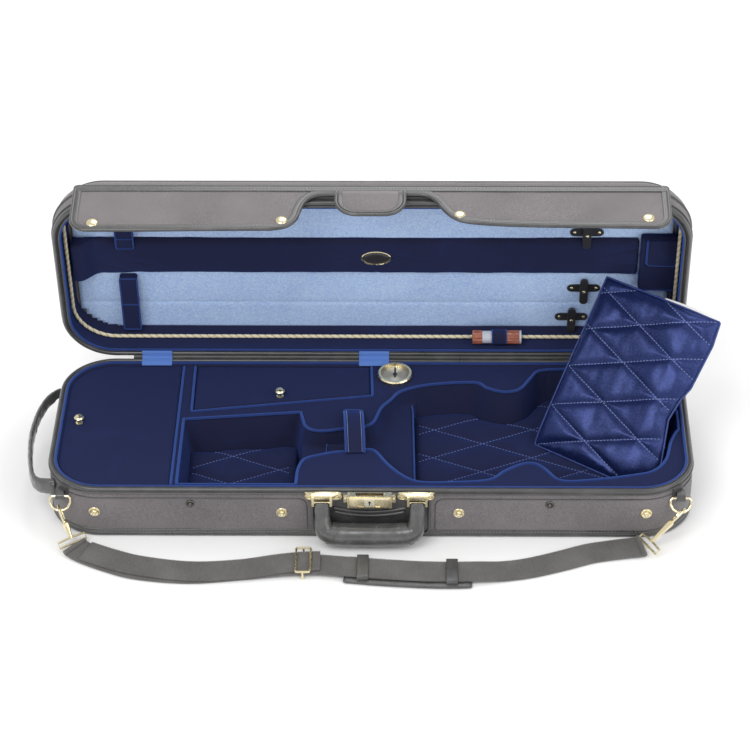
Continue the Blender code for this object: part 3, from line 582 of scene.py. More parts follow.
def soft_copy(name, node, voxel, smoothing=6, shrink=0.0, lid=False):
    """A rounded copy of a CAD solid: remeshed fine, then smoothed."""
    obj = bpy.data.objects.new(name, NODES[node].data.copy())
    bpy.context.scene.collection.objects.link(obj)
    if shrink:
        moved = obj.modifiers.new("shrink", "DISPLACE")
        moved.strength = -shrink * MM
        moved.mid_level = 0.0
    mesh = obj.modifiers.new("remesh", "REMESH")
    mesh.mode = "VOXEL"
    mesh.voxel_size = voxel * MM
    rub = obj.modifiers.new("smooth", "SMOOTH")
    rub.iterations = smoothing
    rub.factor = 0.5
    baked(obj)
    if lid:
        obj.data.transform(LID.inverted())
    obj.data.shade_smooth()
    return obj


def coordinates(obj):
    co = np.empty(len(obj.data.vertices) * 3, np.float32)
    obj.data.vertices.foreach_get("co", co)
    return co.reshape(-1, 3).astype(float) / MM


def set_coordinates(obj, points):
    obj.data.vertices.foreach_set("co", (points * MM).astype(np.float32).ravel())
    obj.data.update()


def inflate(obj, pressure=4.0, cap=4.0, frames=20):
    """Swells a closed cloth for a moment and keeps the result, no point moving further than the cap."""
    before = coordinates(obj)
    cloth = obj.modifiers.new("cloth", "CLOTH")
    cloth.settings.use_pressure = True
    cloth.settings.uniform_pressure_force = pressure
    cloth.settings.effector_weights.gravity = 0.0
    cloth.settings.quality = 5
    cloth.point_cache.frame_start = 1
    cloth.point_cache.frame_end = frames
    for step in range(1, frames + 1):
        bpy.context.scene.frame_set(step)
    baked(obj)
    bpy.context.scene.frame_set(1)
    moved = coordinates(obj) - before
    far = np.linalg.norm(moved, axis=1)
    share = np.minimum(1.0, cap / np.maximum(far, 1e-6))
    set_coordinates(obj, before + moved * share[:, None])
    obj.data.shade_smooth()
    return obj


def subdivided(obj, levels=1):
    made = obj.modifiers.new("subdivision", "SUBSURF")
    made.levels = made.render_levels = levels
    baked(obj)
    obj.data.shade_smooth()
    return obj


def ruffle(obj, amount, size, seed=0.0):
    """Gentle unevenness along the surface normals, both in millimetres."""
    co = coordinates(obj)
    normals = np.array([v.normal for v in obj.data.vertices])
    lift_by = np.array([noise.noise(Vector(p / size) + Vector((seed, seed, seed))) for p in co])
    set_coordinates(obj, co + normals * (lift_by * amount)[:, None])
    return obj


def from_line(x, y, lines):
    """The distance from plan points to the nearest of some lines, each y = slope x + start."""
    return np.min([np.abs(y - slope * x - start) / math.hypot(1.0, slope) for slope, start in lines], axis=0)


def diagonals(rise, rising, fall, falling):
    """Crossing quilting lines, each a slope and the height it starts from."""
    return [(rise, start) for start in rising] + [(-fall, start) for start in falling]


def clipped(line, inside, low, high, step=2.0):
    """The stretch of a quilting line, along x, that lies inside a test."""
    slope, start = line
    return [(x, slope * x + start) for x in np.arange(low, high, step) if inside(x, slope * x + start)]


def in_polygon(polygon):
    corners = [tuple(p[:2]) for p in polygon]

    def test(x, y):
        hit = False
        for (x0, y0), (x1, y1) in zip(corners, corners[1:] + corners[:1]):
            if (y0 > y) != (y1 > y) and x < (x1 - x0) * (y - y0) / (y1 - y0) + x0:
                hit = not hit
        return hit

    return test


# ---------------------------------------------------------------- the case's plan

RIM_LINE = even(rounded(-HALF_X, HALF_X, -HALF_Y, HALF_Y, CORNER, 24), 5.0, True)
RIM_OUT = -(aside(RIM_LINE, 1.0, True) - RIM_LINE)


def case_ring(inside, z, lid=False):
    """The case's plan moved in from its outer face, at a height; for the lid, in its own frame."""
    plan = RIM_LINE - RIM_OUT * inside
    if lid:
        plan = plan - np.array([0.0, HINGE.y])
    return lift(plan, z)


def case_loft(name, profile, lid=False, closed=False, sharp=45):
    """A profile of (distance in from the outer face, height) carried round the case."""
    return loft(name, [case_ring(inside, z, lid) for inside, z in profile], closed, sharp)


def roll(inside, z, r, start=0, end=360, steps=12):
    """A rolled edge in a profile: an arc about a point given by its distance in and its height."""
    return [(inside - x, z + y) for x, y in arc(0, 0, r, start, end, steps)]


def case_tube(name, inside, z, r, lid=False, sides=10):
    return case_loft(name, roll(inside, z, r, 0, 360 - 360 / sides, sides - 1), lid, True, None)


# ---------------------------------------------------------------- fastenings


def screw(centre, axis, r, body, name, look=BRASS, slot="brass"):
    """A domed screw head with a slot sunk into it."""
    profile = [(r, -0.6), (r, 0.1), (r * 0.93, 0.45), (r * 0.7, 0.85), (r * 0.35, 1.05), (0.0, 1.1)]
    obj = turned(name, profile, centre, axis, 24)
    normal = Vector(axis).normalized()
    across = normal.cross(Vector((0.6, 0.3, 0.74))).normalized()
    co = coordinates(obj) - np.array(centre)
    off = co @ np.array(normal.cross(across))
    high = co @ np.array(normal)
    cut = (np.abs(off) < r * 0.16) & (high > 0.2)
    set_coordinates(obj, coordinates(obj) - np.outer(cut * 0.45, np.array(normal)))
    return place(obj, body, look, slot)


def snap(name, centre, axis, r, body, look=BRASS, socket=False):
    """A snap fastener: a domed cap, or a ringed post that the cap presses on to."""
    if socket:
        profile = [(r, -0.5), (r, 0.7), (r * 0.9, 1.5), (r * 0.74, 1.6), (r * 0.64, 0.7), (r * 0.50, 0.6),
                   (r * 0.44, 1.4), (r * 0.40, 3.0), (r * 0.26, 3.4), (r * 0.14, 2.4), (0.0, 2.3)]
    else:
        profile = [(r, -0.5), (r * 1.02, 0.3), (r * 0.94, 1.2), (r * 0.78, 1.9), (r * 0.5, 2.5),
                   (r * 0.2, 2.75),
                   (0.0, 2.8)]
    return place(turned(name, profile, centre, axis, 36, 60), body, look, "brass")


# ---------------------------------------------------------------- base

DOOR_SEAM = span("end_door")[1].x
FRONT_EDGE = [(-90, -92), (-87, -78), (-79, -66), (-47, -55), (-30, -53), (-5, -49), (6, -53),
              (20, -76), (39, -99), (60, -112), (95, -113), (146, -108), (166, -91), (188, -77), (204, -76),
              (216, -86), (234, -108), (269, -108), (324, -98), (351, -89), (368, -66), (376, -32),
              (384, -12)]
REAR_EDGE = [(388, 30), (384, 36), (378, 52), (368, 76), (351, 98), (324, 110), (269, 118), (238, 118),
             (214, 114), (203, 98), (189, 76), (170, 70), (148, 78), (131, 90), (74, 85), (37, 71), (23, 52),
             (11, 35), (2, 7), (-12, -3), (-33, -6), (-58, -11), (-75, -9), (-84, 0)]
OPENING = [(-239, 12), (-239, -118), (-91, -118), *through(FRONT_EDGE, 4), (388, -8),
           *through(REAR_EDGE, 4), (-90, 27)]


PLEATS = ((24.0, 52.0), (46.0, 75.0), (96.0, 86.0), (101.0, 87.0), (191.0, 80.0), (212.0, 112.0),
          (226.0, 117.0))


def canvas_cover():
    profile = [(7.0, 0.2), (3.2, 0.25), (1.4, 1.0), (0.5, 2.6), (0.1, 5.0), (-0.2, 9.0), (-0.5, 16.0),
               (-0.8, 26.0),
               (-0.9, 37.0), (-0.8, 48.0), (-0.5, 57.0), (-0.1, 64.0), (0.3, 69.0), (1.0, 70.2), (7.5, 70.2),
               (7.9, 68.0), (7.9, 6.0)]
    obj = case_loft("base_cover", profile)
    place(ruffle(obj, 0.35, 26.0), "base", CANVAS, "canvas", "base_shell")
    band = case_loft("base_lower_band",
                     [(1.2, 0.4), (-0.6, 0.8), (-1.6, 2.2), (-1.9, 3.6), (-1.6, 5.0), (-0.7, 5.9),
                                         (-1.1, 6.6), (-1.3, 8.6), (-1.2, 10.6), (-0.4, 11.3), (1.0, 11.3)])
    place(ruffle(band, 0.2, 18.0, 3.0), "base", LEATHER, "leather")
    run = case_ring(-1.4, 8.4)
    place(stitches("base_lower_stitches", [np.vstack([run, run[:1]])], (0, 0, 0.4), length=2.6, gap=1.7,
                   r=0.4),
          "base", DARK_THREAD, "leather")
    place(case_tube("base_upper_welt", -0.5, 68.6, 1.2), "base", LEATHER, "leather")
    frame_seam()


def frame_seam():
    """The sewn border of the canvas: along under the rim and down beside the handle's panel."""
    for sign, side in ((-1, "left"), (1, "right")):
        low, high = span("handle_panel")
        edge = (high.x if sign > 0 else -low.x) + 5.5
        front = [(edge, 12.0), (edge, 50.0), *arc(edge + 11.0, 50.0, 11.0, 180, 90, 8),
                 (HALF_X - CORNER, 61.0)]
        run = [(sign * x, -HALF_Y - 0.75, z) for x, z in even(front, 4.0)]
        for x in np.linspace(HALF_X - CORNER + 4, HALF_X - 3.0, 24):
            run.append(front_point(sign * x, 61.0, 0.75))
        place(tube("canvas_border_" + side, run, 0.75, front_normal(sign * (HALF_X - 30)), sides=8), "base",
              LEATHER,
              "leather")


def rims():
    """Leather rolled over the edge of each half, with a velvet seam inside it."""
    ledge = RIM_TOP - 1.2
    profile = [(-0.3, 69.6), *roll(2.2, RIM_TOP - 2.6, 2.6, -15, 170, 12), (5.0, ledge - 0.9), (5.5, ledge),
               (6.6, ledge),
               (6.9, ledge - 1.2), (6.9, 69.0), (2.0, 69.0)]
    place(ruffle(case_loft("base_rim_piping", profile, closed=True), 0.12, 14.0, 7.0), "base", LEATHER,
          "leather",
          "base_rim")
    margin = [(6.4, 69.0), (6.4, 72.0), (7.4, 72.4), (9.4, 71.4), (11.0, 69.9), (11.0, 68.6)]
    place(case_loft("bed_margin", margin, closed=True), "base", VELVET, "velvet")
    place(case_tube("base_rim_seam", 7.7, ledge - 0.9, 1.75), "base", SHEEN_PIPING, "velvet")
    profile = [(-0.4, 7.4), *roll(3.1, 3.5, 3.4, 20, -175, 12), (6.9, 1.8), (7.6, 1.0), (9.0, 1.0),
               (9.2, 2.2),
               (9.2, 6.4), (2.0, 7.4)]
    place(ruffle(case_loft("lid_rim_piping", profile, True, True), 0.12, 14.0, 9.0), "lid", LEATHER,
          "leather",
          "lid_rim", lid=True)
    place(case_tube("lid_rim_seam", 9.9, 2.4, 1.5, True), "lid", SHEEN_PIPING, "velvet", lid=True)
    place(case_tube("lid_upper_welt", -0.7, 9.4, 1.1, True), "lid", LEATHER, "leather", lid=True)


def velvet_bed():
    obj = soft_copy("velvet_bed", "instrument_bed", 2.4, 5)
    co = coordinates(obj)
    step = (np.abs(co[:, 0] - 51.0) < 2.5) & (co[:, 2] > 20) & (co[:, 2] < 47)
    step &= (co[:, 1] > -110) & (co[:, 1] < 80)
    co[:, 0] += 3.4 * step
    wall = np.clip((co[:, 2] - 44) / 8, 0, 1) * np.clip((BED_TOP - 0.8 - co[:, 2]) / 3, 0, 1)
    for x, y in PLEATS:
        near = np.exp(-((co[:, 0] - x) / 1.6) ** 2) * (np.abs(co[:, 1] - y) < 16)
        co[:, 1] += 1.5 * near * wall
    set_coordinates(obj, co)
    place(ruffle(obj, 0.5, 34.0, 1.0), "base", VELVET, "velvet", "instrument_bed")
    run = even(OPENING, 3.0, True)
    place(tube("bed_edge_piping", lift(aside(run, 0.4, True), BED_TOP - 0.5), 1.95, cyclic=True), "base",
          SHEEN_PIPING,
          "velvet")
    frames = {
        "end_door_piping": [(DOOR_SEAM + 1.6, -121.0), (DOOR_SEAM + 1.6, 121.0)],
        "middle_door_piping": [(-230.8, 122.0), (-229.6, 26.6), (0.4, 60.0), (-1.6, 122.0)],
    }
    for name, corners in frames.items():
        place(tube(name, lift(even(corners, 3.0), BED_TOP + 0.2), 1.7), "base", SHEEN_PIPING, "velvet")
    plinth = [(55.4, -103.0), (54.6, -60.0), (53.6, -10.0), (52.6, 40.0), (51.5, 66.0), (47.0, 76.0),
              (36.0, 74.0),
              (26.0, 65.0), (14.0, 50.0), (5.0, 32.0), (0.0, 18.0)]
    place(tube("plinth_piping", lift(even(through(plinth, 4), 3.0), 45.3), 1.1), "base", SHEEN_PIPING, "velvet")


def quilted_floor(name, node, lines, polygon, seed):
    """A padded floor sewn down along crossing lines."""
    obj = inflate(soft_copy(name, node, 2.4, 3), 3.0, 1.5, 12)
    subdivided(obj)
    low, high = span(node)
    co = coordinates(obj)
    for axis in (0, 1):
        middle, half = (low[axis] + high[axis]) / 2, (high[axis] - low[axis]) / 2
        co[:, axis] = middle + (co[:, axis] - middle) * (half + 5.0) / half
    top = np.clip((co[:, 2] - (high.z - 5.0)) / 3.0, 0, 1)
    away = from_line(co[:, 0], co[:, 1], lines)
    co[:, 2] += top * (3.2 * (1 - np.exp(-away / 6.5)) - 2.6)
    set_coordinates(obj, co)
    place(ruffle(obj, 0.3, 20.0, seed), "base", VELVET, "velvet", node)
    inside = in_polygon(polygon)
    runs = [clipped(line, inside, low.x, high.x) for line in lines]
    rows = []
    above = high.z + 30.0
    for run in runs:
        if len(run) > 4:
            start = [(x, y, above) for x, y in run]
            rows.append([(p[0], p[1], above - surface_at(obj, p, Vector((0, 0, -1))) + 0.2) for p in start])
    place(stitches(name + "_stitches", rows, length=2.8, gap=1.7, r=0.5), "base", PALE_THREAD, "velvet")


def floors():
    shrunk = aside(even(OPENING, 4.0, True), 6.5, True)
    bay = [tuple(p) for p in shrunk if p[0] > 56]
    lines = diagonals(QUILT_SLOPE, [9.0 - 55.5 * k for k in range(-2, 7)], QUILT_SLOPE,
                      [80.7 - 57.5 * k for k in range(-6, 5)])
    quilted_floor("bay_floor", "bay_quilt", lines, bay, 2.0)
    scroll = [(-230, -110), (-100, -110), (-97, 14), (-230, 1)]
    lines = diagonals(QUILT_SLOPE, [72.0 - 54.0 * k for k in range(-2, 4)], QUILT_SLOPE,
                      [-87.0 - 56.0 * k for k in range(-2, 3)])
    quilted_floor("scroll_floor", "scroll_quilt", lines, scroll, 4.0)


def cushions():
    rest = inflate(soft_copy("neck_cushion", "neck_rest", 2.4, 3, 0.6), 4.0, 2.0, 14)
    place(subdivided(rest), "base", VELVET, "velvet", "neck_rest")
    low, high = span("neck_rest")
    side = through([(low.x + 1.0, low.y + 1, high.z - 1.2), (low.x + 0.6, -31.5, high.z - 4.6),
                    (low.x + 1.0, high.y - 1, high.z - 1.2)], 6)
    place(tube("neck_cushion_piping", side, 0.7), "base", SHEEN_PIPING, "velvet")


def doors():
    for node, body in (("end_door", "end_lid"), ("middle_door", "middle_lid")):
        obj = soft_copy(node + "_velvet", node, 1.9, 3)
        low, high = span(node)
        co = coordinates(obj)
        edge = np.minimum.reduce([co[:, 0] - low.x, high.x - co[:, 0], co[:, 1] - low.y, high.y - co[:, 1]])
        crown = 0.9 * np.clip(edge / 45.0, 0, 1) ** 0.5
        co[:, 2] += np.where(co[:, 2] > high.z - 1.5, crown, 0.0)
        set_coordinates(obj, co)
        place(ruffle(obj, 0.4, 40.0, 5.0), body, VELVET, "velvet", node)


def neck_band():
    """The velvet strap over the neck, its edges bound and sewn."""
    low, high = span("neck_strap")
    x = (low.x + high.x) / 2
    run = even(through([(-58.0, 72.0), (-50.0, 75.5), (-38.0, 80.5), (-22.0, 84.0), (-4.0, 84.0),
                        (10.0, 80.0),
                        (20.0, 74.5), (26.0, 72.0)], 6), 1.5)
    lean = -4.5 * (run[:, 0] + 58.0) / 84.0
    path = np.column_stack([x + 1.5 + lean, run])
    section = [(-11.4, -0.9), (-6, -1.1), (0, -1.1), (6, -1.1), (11.4, -0.9), (11.4, 0.7), (6, 1.3),
               (0, 1.5), (-6, 1.3),
               (-11.4, 0.7)]
    place(sweep("neck_band", path, section), "strap_over_neck", VELVET, "velvet", "neck_strap")
    for side, name in ((-11.3, "left"), (11.3, "right")):
        edge = path + np.array([side, 0, 0])
        place(tube("neck_band_binding_" + name, edge, 1.7), "strap_over_neck", SHEEN_PIPING, "velvet")
        row = path + np.array([side * 0.76, 0, 1.5])
        place(stitches("neck_band_stitches_" + name, [row], (0, 0, 1), length=1.7, gap=1.2, r=0.4),
              "strap_over_neck", WHITE_THREAD, "velvet")
    end = path[-1] + np.array([0.0, 0.4, 0.6])
    cross = [end - np.array([11.5, 0, 0]), end + np.array([11.5, 0, 0])]
    place(tube("neck_band_end", even(cross, 3.0), 1.7), "strap_over_neck", SHEEN_PIPING, "velvet")


def front_furniture():
    low, high = span("handle_panel")
    y = low.y - 0.4
    path = [(x, z) for x, z in rounded(low.x + 2.2, high.x - 2.2, low.z + 2.4, high.z + 2, 8.0, 8)]
    edge = [(x, y, z) for x, z in even(path, 2.5, True)]
    place(sweep("handle_panel_piping", edge, disc(1.7, 10), (0, -1, 0), True, sharp=None), "base", LEATHER,
          "leather")
    for name, z, reach in (("upper", 42.6, 46.0), ("lower", 36.4, 44.0)):
        run = [(x, y - 0.2, z + 6.5 * (x / reach) ** 2) for x in np.linspace(-reach, reach, 30)]
        place(tube("panel_ridge_" + name, run, 2.0, (0, -1, 0)), "base", LEATHER, "leather")
    lock_plate()
    for sign, side in ((-1, "left"), (1, "right")):
        handle_mount(sign, side)
    for x, drop in ((-340.0, -45.0), (-108.5, -40.0), (109.5, -29.5), (340.0, -34.5)):
        tag = ("left" if x < 0 else "right") + ("_outer" if abs(x) > 200 else "_inner")
        snap("snap_post_" + tag, front_point(x, 39.0, 0.9), front_normal(x), 7.2, "base", BRASS, True)
        cap = snap("snap_cap_" + tag, (x, LID_FRONT - 6.6, drop), (0, -1, 0), 7.4, "flap", BRASS)
        cap.parent = None
        cap.matrix_world = Matrix.Identity(4)
        cap.data.transform(LID)
        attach(cap, "flap")
    for x in (-221.0, 221.0):
        snap("dark_stud_" + ("left" if x < 0 else "right"), front_point(x, 53.0, 0.9), (0, -1, 0), 5.2,
             "base",
             STUD_DARK, True)


def lock_plate():
    """The raised face of the lock and the key plate that slides in it."""
    low, high = span("lock_case")
    bottom, top = low.z + 0.3, high.z - 0.3
    outline = ((25.8, 0.4, 0.1), (25.2, 0.2, -0.7), (22.6, 1.8, -1.4), (14.2, 2.6, -1.4), (14.2, 2.6, -0.3))
    face = [[(x, low.y + out, z) for x, z in rounded(-w, w, bottom + s, top - s, 2.2, 5)] for w, s,
            out in outline]
    place(loft("lock_face", face, True, 30), "base", BRASS, "brass")
    low, high = span("lock_slide")
    y = low.y
    carrier = [[(x, y + out, z) for x, z in rounded(-18.8, 18.8, low.z + 0.3, high.z - 0.3, 0.8, 3)]
               for out in (0.8, 0.35)]
    place(loft("lock_carrier", carrier, sharp=30), "lock_bolt", BRASS, "brass")
    plate = [[(x, y - out, z) for x,
              z in rounded(-6.9 + s, 6.9 - s, low.z + 0.2 + s, high.z - 0.2 - s, 1.2, 4)]
             for out, s in ((-0.4, 0.0), (0.5, 0.0), (0.9, 0.6))]
    place(loft("keyhole_plate", plate, sharp=25), "lock_bolt",
          brass_look("pale_brass", (0.95, 0.90, 0.70), 0.25),
          "brass")
    # The keyhole and its slot are thin black pieces on the plate, not holes: painted shade.
    hole = turned("keyhole", [(1.5, 0.0), (1.5, 0.3), (0.0, 0.3)], (0, y - 0.8, 66.2), (0, -1, 0), 20)
    place(hole, "lock_bolt", INK_AND_HOLE_SHADE, "black_metal")
    cut_out = [[(x, y - 0.8 - d, z) for x, z in ((-0.5, 61.0), (0.5, 61.0), (0.9, 65.4), (-0.9, 65.4))]
               for d in (0, 0.3)]
    place(loft("keyhole_slot", cut_out), "lock_bolt", INK_AND_HOLE_SHADE, "black_metal")
    for sign, side in ((-1, "left"), (1, "right")):
        screw((sign * 29.6, -139.0, 65.2), (0, -1, 0), 1.8, "base", "lock_screw_" + side)


def handle_mount(sign, side):
    """A mount's hood, its front bridge and its two riveted eyelets."""
    plan = [(35.0, -136.2), (37.5, -139.4), (44.0, -143.4), (50.0, -144.8), (67.0, -144.8), (72.0, -143.4),
            (77.5, -139.4), (79.6, -136.2)]
    hood = [[(sign * (57.3 + (x - 57.3) * s), -136.2 + (y + 136.2) * s, z) for x, y in plan]
            for s, z in ((0.98, 71.6), (1.0, 72.0), (1.0, 73.0), (0.97, 73.6), (0.8, 74.2))]
    place(loft("mount_hood_" + side, hood, sharp=40), "base", BRASS, "brass")
    bridge = [[(sign * x, -143.0 - d, z) for x, z in rounded(48.9 + s, 68.1 - s, 66.8 + s, 72.0, 1.2, 4)]
              for d, s in ((0.0, 0.0), (1.0, 0.0), (1.4, 0.5))]
    place(loft("mount_bridge_" + side, bridge, sharp=40), "base", BRASS, "brass")
    for x, end in ((40.2, "inner"), (74.4, "outer")):
        turns = np.linspace(0, math.tau, 28)[:-1]
        ring = [(sign * x + 3.3 * math.cos(t), -138.0, 67.4 + 3.3 * math.sin(t)) for t in turns]
        place(tube("mount_eyelet_%s_%s" % (side, end), ring, 0.9, (0, -1, 0), True, 8), "base", BRASS,
              "brass")
        screw((sign * x, -137.6, 67.4), (0, -1, 0), 2.2, "base", "mount_screw_%s_%s" % (side, end))


def front_normal(x):
    """Which way the case's front faces at x: straight forward, then round the corner."""
    start = HALF_X - CORNER
    if abs(x) <= start:
        return (0.0, -1.0, 0.0)
    turn = math.asin(min(1.0, (abs(x) - start) / CORNER))
    return (math.copysign(math.sin(turn), x), -math.cos(turn), 0.0)


def front_point(x, z, out):
    n = front_normal(x)
    start = HALF_X - CORNER
    if abs(x) <= start:
        return (x, -HALF_Y - out, z)
    middle = (math.copysign(start, x), -(HALF_Y - CORNER))
    return (middle[0] + n[0] * (CORNER + out), middle[1] + n[1] * (CORNER + out), z)


def grips():
    """The leather handle, thick in the grip and narrow in the arms, and the end handle."""
    joint = Vector(JOINTS["handle_swing"]["pos_m"]) / MM
    x = 58.5
    half = [(x, joint.y - 0.2, joint.z + 0.6), (x, -143.2, 53.0), (x - 0.3, -145.6, 43.0),
            (x - 1.0, -149.0, 33.0),
            (x - 4.0, -151.3, 25.4), (x - 12.5, -152.5, 20.8), (x - 25.5, -152.7, 19.4)]
    grow = [(0.58, 0.31), (0.66, 0.42), (0.68, 0.58), (0.76, 0.78), (0.90, 0.92), (1.0, 1.0), (1.02, 1.02)]
    path = [*half, (12.0, -152.9, 19.2), (-12.0, -152.9, 19.2), *[(-a, b, c) for a, b, c in reversed(half)]]
    size = [*grow, (1.04, 1.04), (1.04, 1.04), *reversed(grow)]
    line = through([(*p, *s) for p, s in zip(path, size)], 8)
    run = np.array(line)
    obj = sweep("handle_grip", run[:, :3], oval(13.8, 13.8, 32, 0.9), (0, -1, 0.2), scale=run[:, 3:],
                sharp=None)
    place(ruffle(obj, 0.25, 9.0, 2.0), "handle", LIT_GRIP_LEATHER, "leather", "carry_handle")
    for sign, side in ((-1, "left"), (1, "right")):
        for shift, mark in ((0.0, "outer"), (2.6, "inner")):
            seam = hugging(obj, Vector((sign * (47.5 - shift), -152.0, 21.5)),
                           Vector((-sign * 0.56, 0.0, 0.83)), 0.1)
            place(tube("handle_seam_%s_%s" % (side, mark), seam, 0.55, (sign * 0.83, 0, 0.56), True, 8),
                  "handle",
                  LIT_GRIP_LEATHER, "leather")
        bar = [(sign * x - 12.3, joint.y, joint.z), (sign * x + 12.3, joint.y, joint.z)]
        place(sweep("handle_pin_" + side, bar, disc(1.45, 20)), "handle", BRASS, "brass")
    end_grip()


def hugging(obj, centre, up, out, count=48):
    """The loop where a piece's surface meets the plane of the y axis and another direction."""
    loop = []
    for t in np.linspace(0, math.tau, count, endpoint=False):
        way = (Vector((0, 1, 0)) * math.cos(t) + up * math.sin(t)).normalized()
        hit, where, _, _ = obj.ray_cast((centre + way * 60) * MM, -way)
        reach = (where / MM - centre).length if hit else 14.0
        loop.append(centre + way * (reach + out))
    return loop


def end_grip():
    joint = Vector(JOINTS["end_handle_swing"]["pos_m"]) / MM
    plan = [(joint.x, 88.0), (-410.0, 84.0), (-420.0, 68.0), (-428.0, 40.0), (-431.5, 0.0), (-429.0, -40.0),
            (-424.0, -72.0), (-418.0, -90.0), (-409.0, -98.5), (-398.0, -101.0), (-389.0, -102.5)]
    run = even([(a, b, joint.z - 0.10 * (joint.x - a)) for a, b in through(plan, 8)], 2.0)
    share = np.linspace(0, 1, len(run))
    tall = 1.0 - 0.25 * np.exp(-(share / 0.06) ** 2) + 0.22 * np.exp(-((1 - share) / 0.14) ** 2)
    wide = 1.0 + 1.3 * np.exp(-((1 - share) / 0.12) ** 2)
    obj = sweep("end_grip_leather", run, oval(2.7, 9.0, 20, 0.7), scale=np.column_stack([wide, tall]),
                sharp=None)
    crinkle = ruffle(ruffle(obj, 0.4, 8.0, 6.0), 0.7, 5.0, 9.0)
    place(crinkle, "end_grip", LIT_GRIP_LEATHER, "leather", "end_handle")
    for z, name in ((6.4, "upper"), (-6.4, "lower")):
        row = run[6:-14] + np.array([-2.6, 0, z])
        place(stitches("end_grip_stitches_" + name, [row], (-1, 0, 0), length=2.4, gap=1.6, r=0.35),
              "end_grip",
              DARK_THREAD, "leather")
    for y, name in ((88.0, "rear"), (-99.0, "front")):
        pad = [[(joint.x + d, y + a, joint.z + b) for a,
                b in rounded(-11 + s, 11 - s, -11 + s, 11 - s, 5.0 - s, 5)]
               for d, s in ((5.0, 0.0), (0.6, 0.0), (-0.4, 1.0))]
        if abs(y) > HALF_Y - CORNER:
            shift = CORNER - math.sqrt(CORNER ** 2 - (abs(y) - (HALF_Y - CORNER)) ** 2)
            pad = [[(px + shift * 0.9, py, pz) for px, py, pz in ring] for ring in pad]
        place(loft("end_grip_anchor_" + name, pad), "base", LEATHER, "leather")


def webbing_strap():
    """Ribbed webbing: every rib is raised across the strap."""
    run = [(-364.0, -160.0, 3.2), (-350.0, -170.0, 2.4), (-320.0, -185.0, 1.9), (-282.0, -199.0, 1.9),
           (-220.0, -206.0, 1.9), (-159.0, -200.0, 2.1), (-110.0, -195.0, 5.2), (-81.0, -193.0, 5.6),
           (-60.0, -193.0, 5.8), (-36.0, -196.0, 6.3), (10.0, -201.0, 6.3), (60.0, -205.0, 6.3),
           (100.0, -206.0, 6.3), (132.0, -204.5, 6.0), (165.0, -200.0, 2.6), (197.0, -193.0, 1.9),
           (235.0, -180.0, 1.9), (270.0, -166.5, 1.9), (300.0, -160.0, 2.4), (334.0, -155.5, 4.2)]
    line = even(through(run, 6), 0.55)
    place(ribbed("strap_webbing", line, 17.5), "strap", WEBBING, "webbing", "shoulder_strap")
    second = even(through([(x, y + 2.6 * math.sin((x + 350) / 40.0) + 1.5, z + 2.9) for x, y,
                           z in run[1:9]], 6), 0.55)
    place(ribbed("strap_webbing_return", second, 17.2), "strap", WEBBING, "webbing")
    pad_run = [(-29.0, -198.0, 2.4), (10.0, -202.5, 2.4), (60.0, -206.5, 2.4), (100.0, -207.5, 2.4),
               (124.0, -206.5, 2.4)]
    path = even(through(pad_run, 6), 3.0)
    section = oval(23.5, 2.0, 36, 0.35)
    ends = np.ones((len(path), 2))
    ends[0] = ends[-1] = (0.97, 0.55)
    place(ruffle(sweep("strap_pad_leather", path, section, scale=ends, sharp=60), 0.2, 15.0), "strap",
          LEATHER,
          "leather", "strap_pad")
    for x, name in ((-8.0, "left"), (101.0, "right")):
        y = -199.0 if x < 0 else -206.0
        loop = [(x, y - 20.6, 4.4), (x, y - 20.4, 8.4), (x, y - 18.6, 9.4), (x, y, 9.7), (x, y + 18.6, 9.4),
                (x, y + 20.4, 8.4), (x, y + 20.6, 4.4)]
        place(sweep("pad_keeper_" + name, even(through(loop, 4), 1.5), oval(0.7, 7.2, 16, 0.4), (1, 0, 0),
                    sharp=60),
              "strap", LEATHER, "leather")
    for sign in (-1, 1):
        row = path[2:-2] + np.array([0, sign * 20.6, 1.9])
        place(stitches("pad_stitches_" + ("front" if sign < 0 else "rear"), [row], (0, 0, 1), r=0.35),
              "strap",
              DARK_THREAD, "leather")
    for node, at, tilt in (("hook_left", run[0], -0.72), ("hook_right", run[-1], 0.22)):
        wrap = turned("strap_fold_" + node[5:],
                      [(1.0, -17.0), (3.1, -17.0), (3.3, -8), (3.3, 8), (3.1, 17.0), (1.0, 17.0)],
                      (at[0], at[1], 5.2), (math.cos(tilt + math.pi / 2), math.sin(tilt + math.pi / 2), 0),
                      20)
        place(wrap, "strap", WEBBING, "webbing")


def ribbed(name, line, half_width):
    """A flat strap with a rib every few points of its evenly spaced centre line."""
    across = np.linspace(-1, 1, 15)
    top = [(a * half_width, 1.35 * (1 - 0.25 * a ** 8)) for a in across]
    section = top + [(a, -b) for a, b in reversed(top)]
    scale = np.ones((len(line), 2))
    scale[:, 1] = 0.86 + 0.22 * np.cos(np.arange(len(line)) * math.tau / 5.0)
    scale[:, 0] = 1.0 + 0.006 * np.cos(np.arange(len(line)) * math.tau / 5.0)
    return sweep(name, line, section, scale=scale, sharp=None)


def dial():
    low, high = span("hygrometer_case")
    centre = Vector(((low.x + high.x) / 2, (low.y + high.y) / 2, low.z))
    face = turned("hygrometer_dial", [(17.8, 2.4), (17.8, 2.9), (2.2, 2.95), (0.0, 2.95)], centre, sides=64)
    place(face, "base", dial_look(centre), "brass")
    ticks = []
    for i in range(25):
        t = math.radians(-60 + 10 * i)
        reach = 13.6 if i % 5 == 0 else 15.0
        ends = [(centre.x + r * math.cos(t), centre.y + r * math.sin(t), centre.z + 3.0) for r in (reach,
                                                                                                   17.0)]
        ticks.append(swept(ends, oval(0.35, 0.12, 6)))
    place(build("hygrometer_ticks", *gathered(ticks)), "base", INK_AND_HOLE_SHADE, "black_metal")


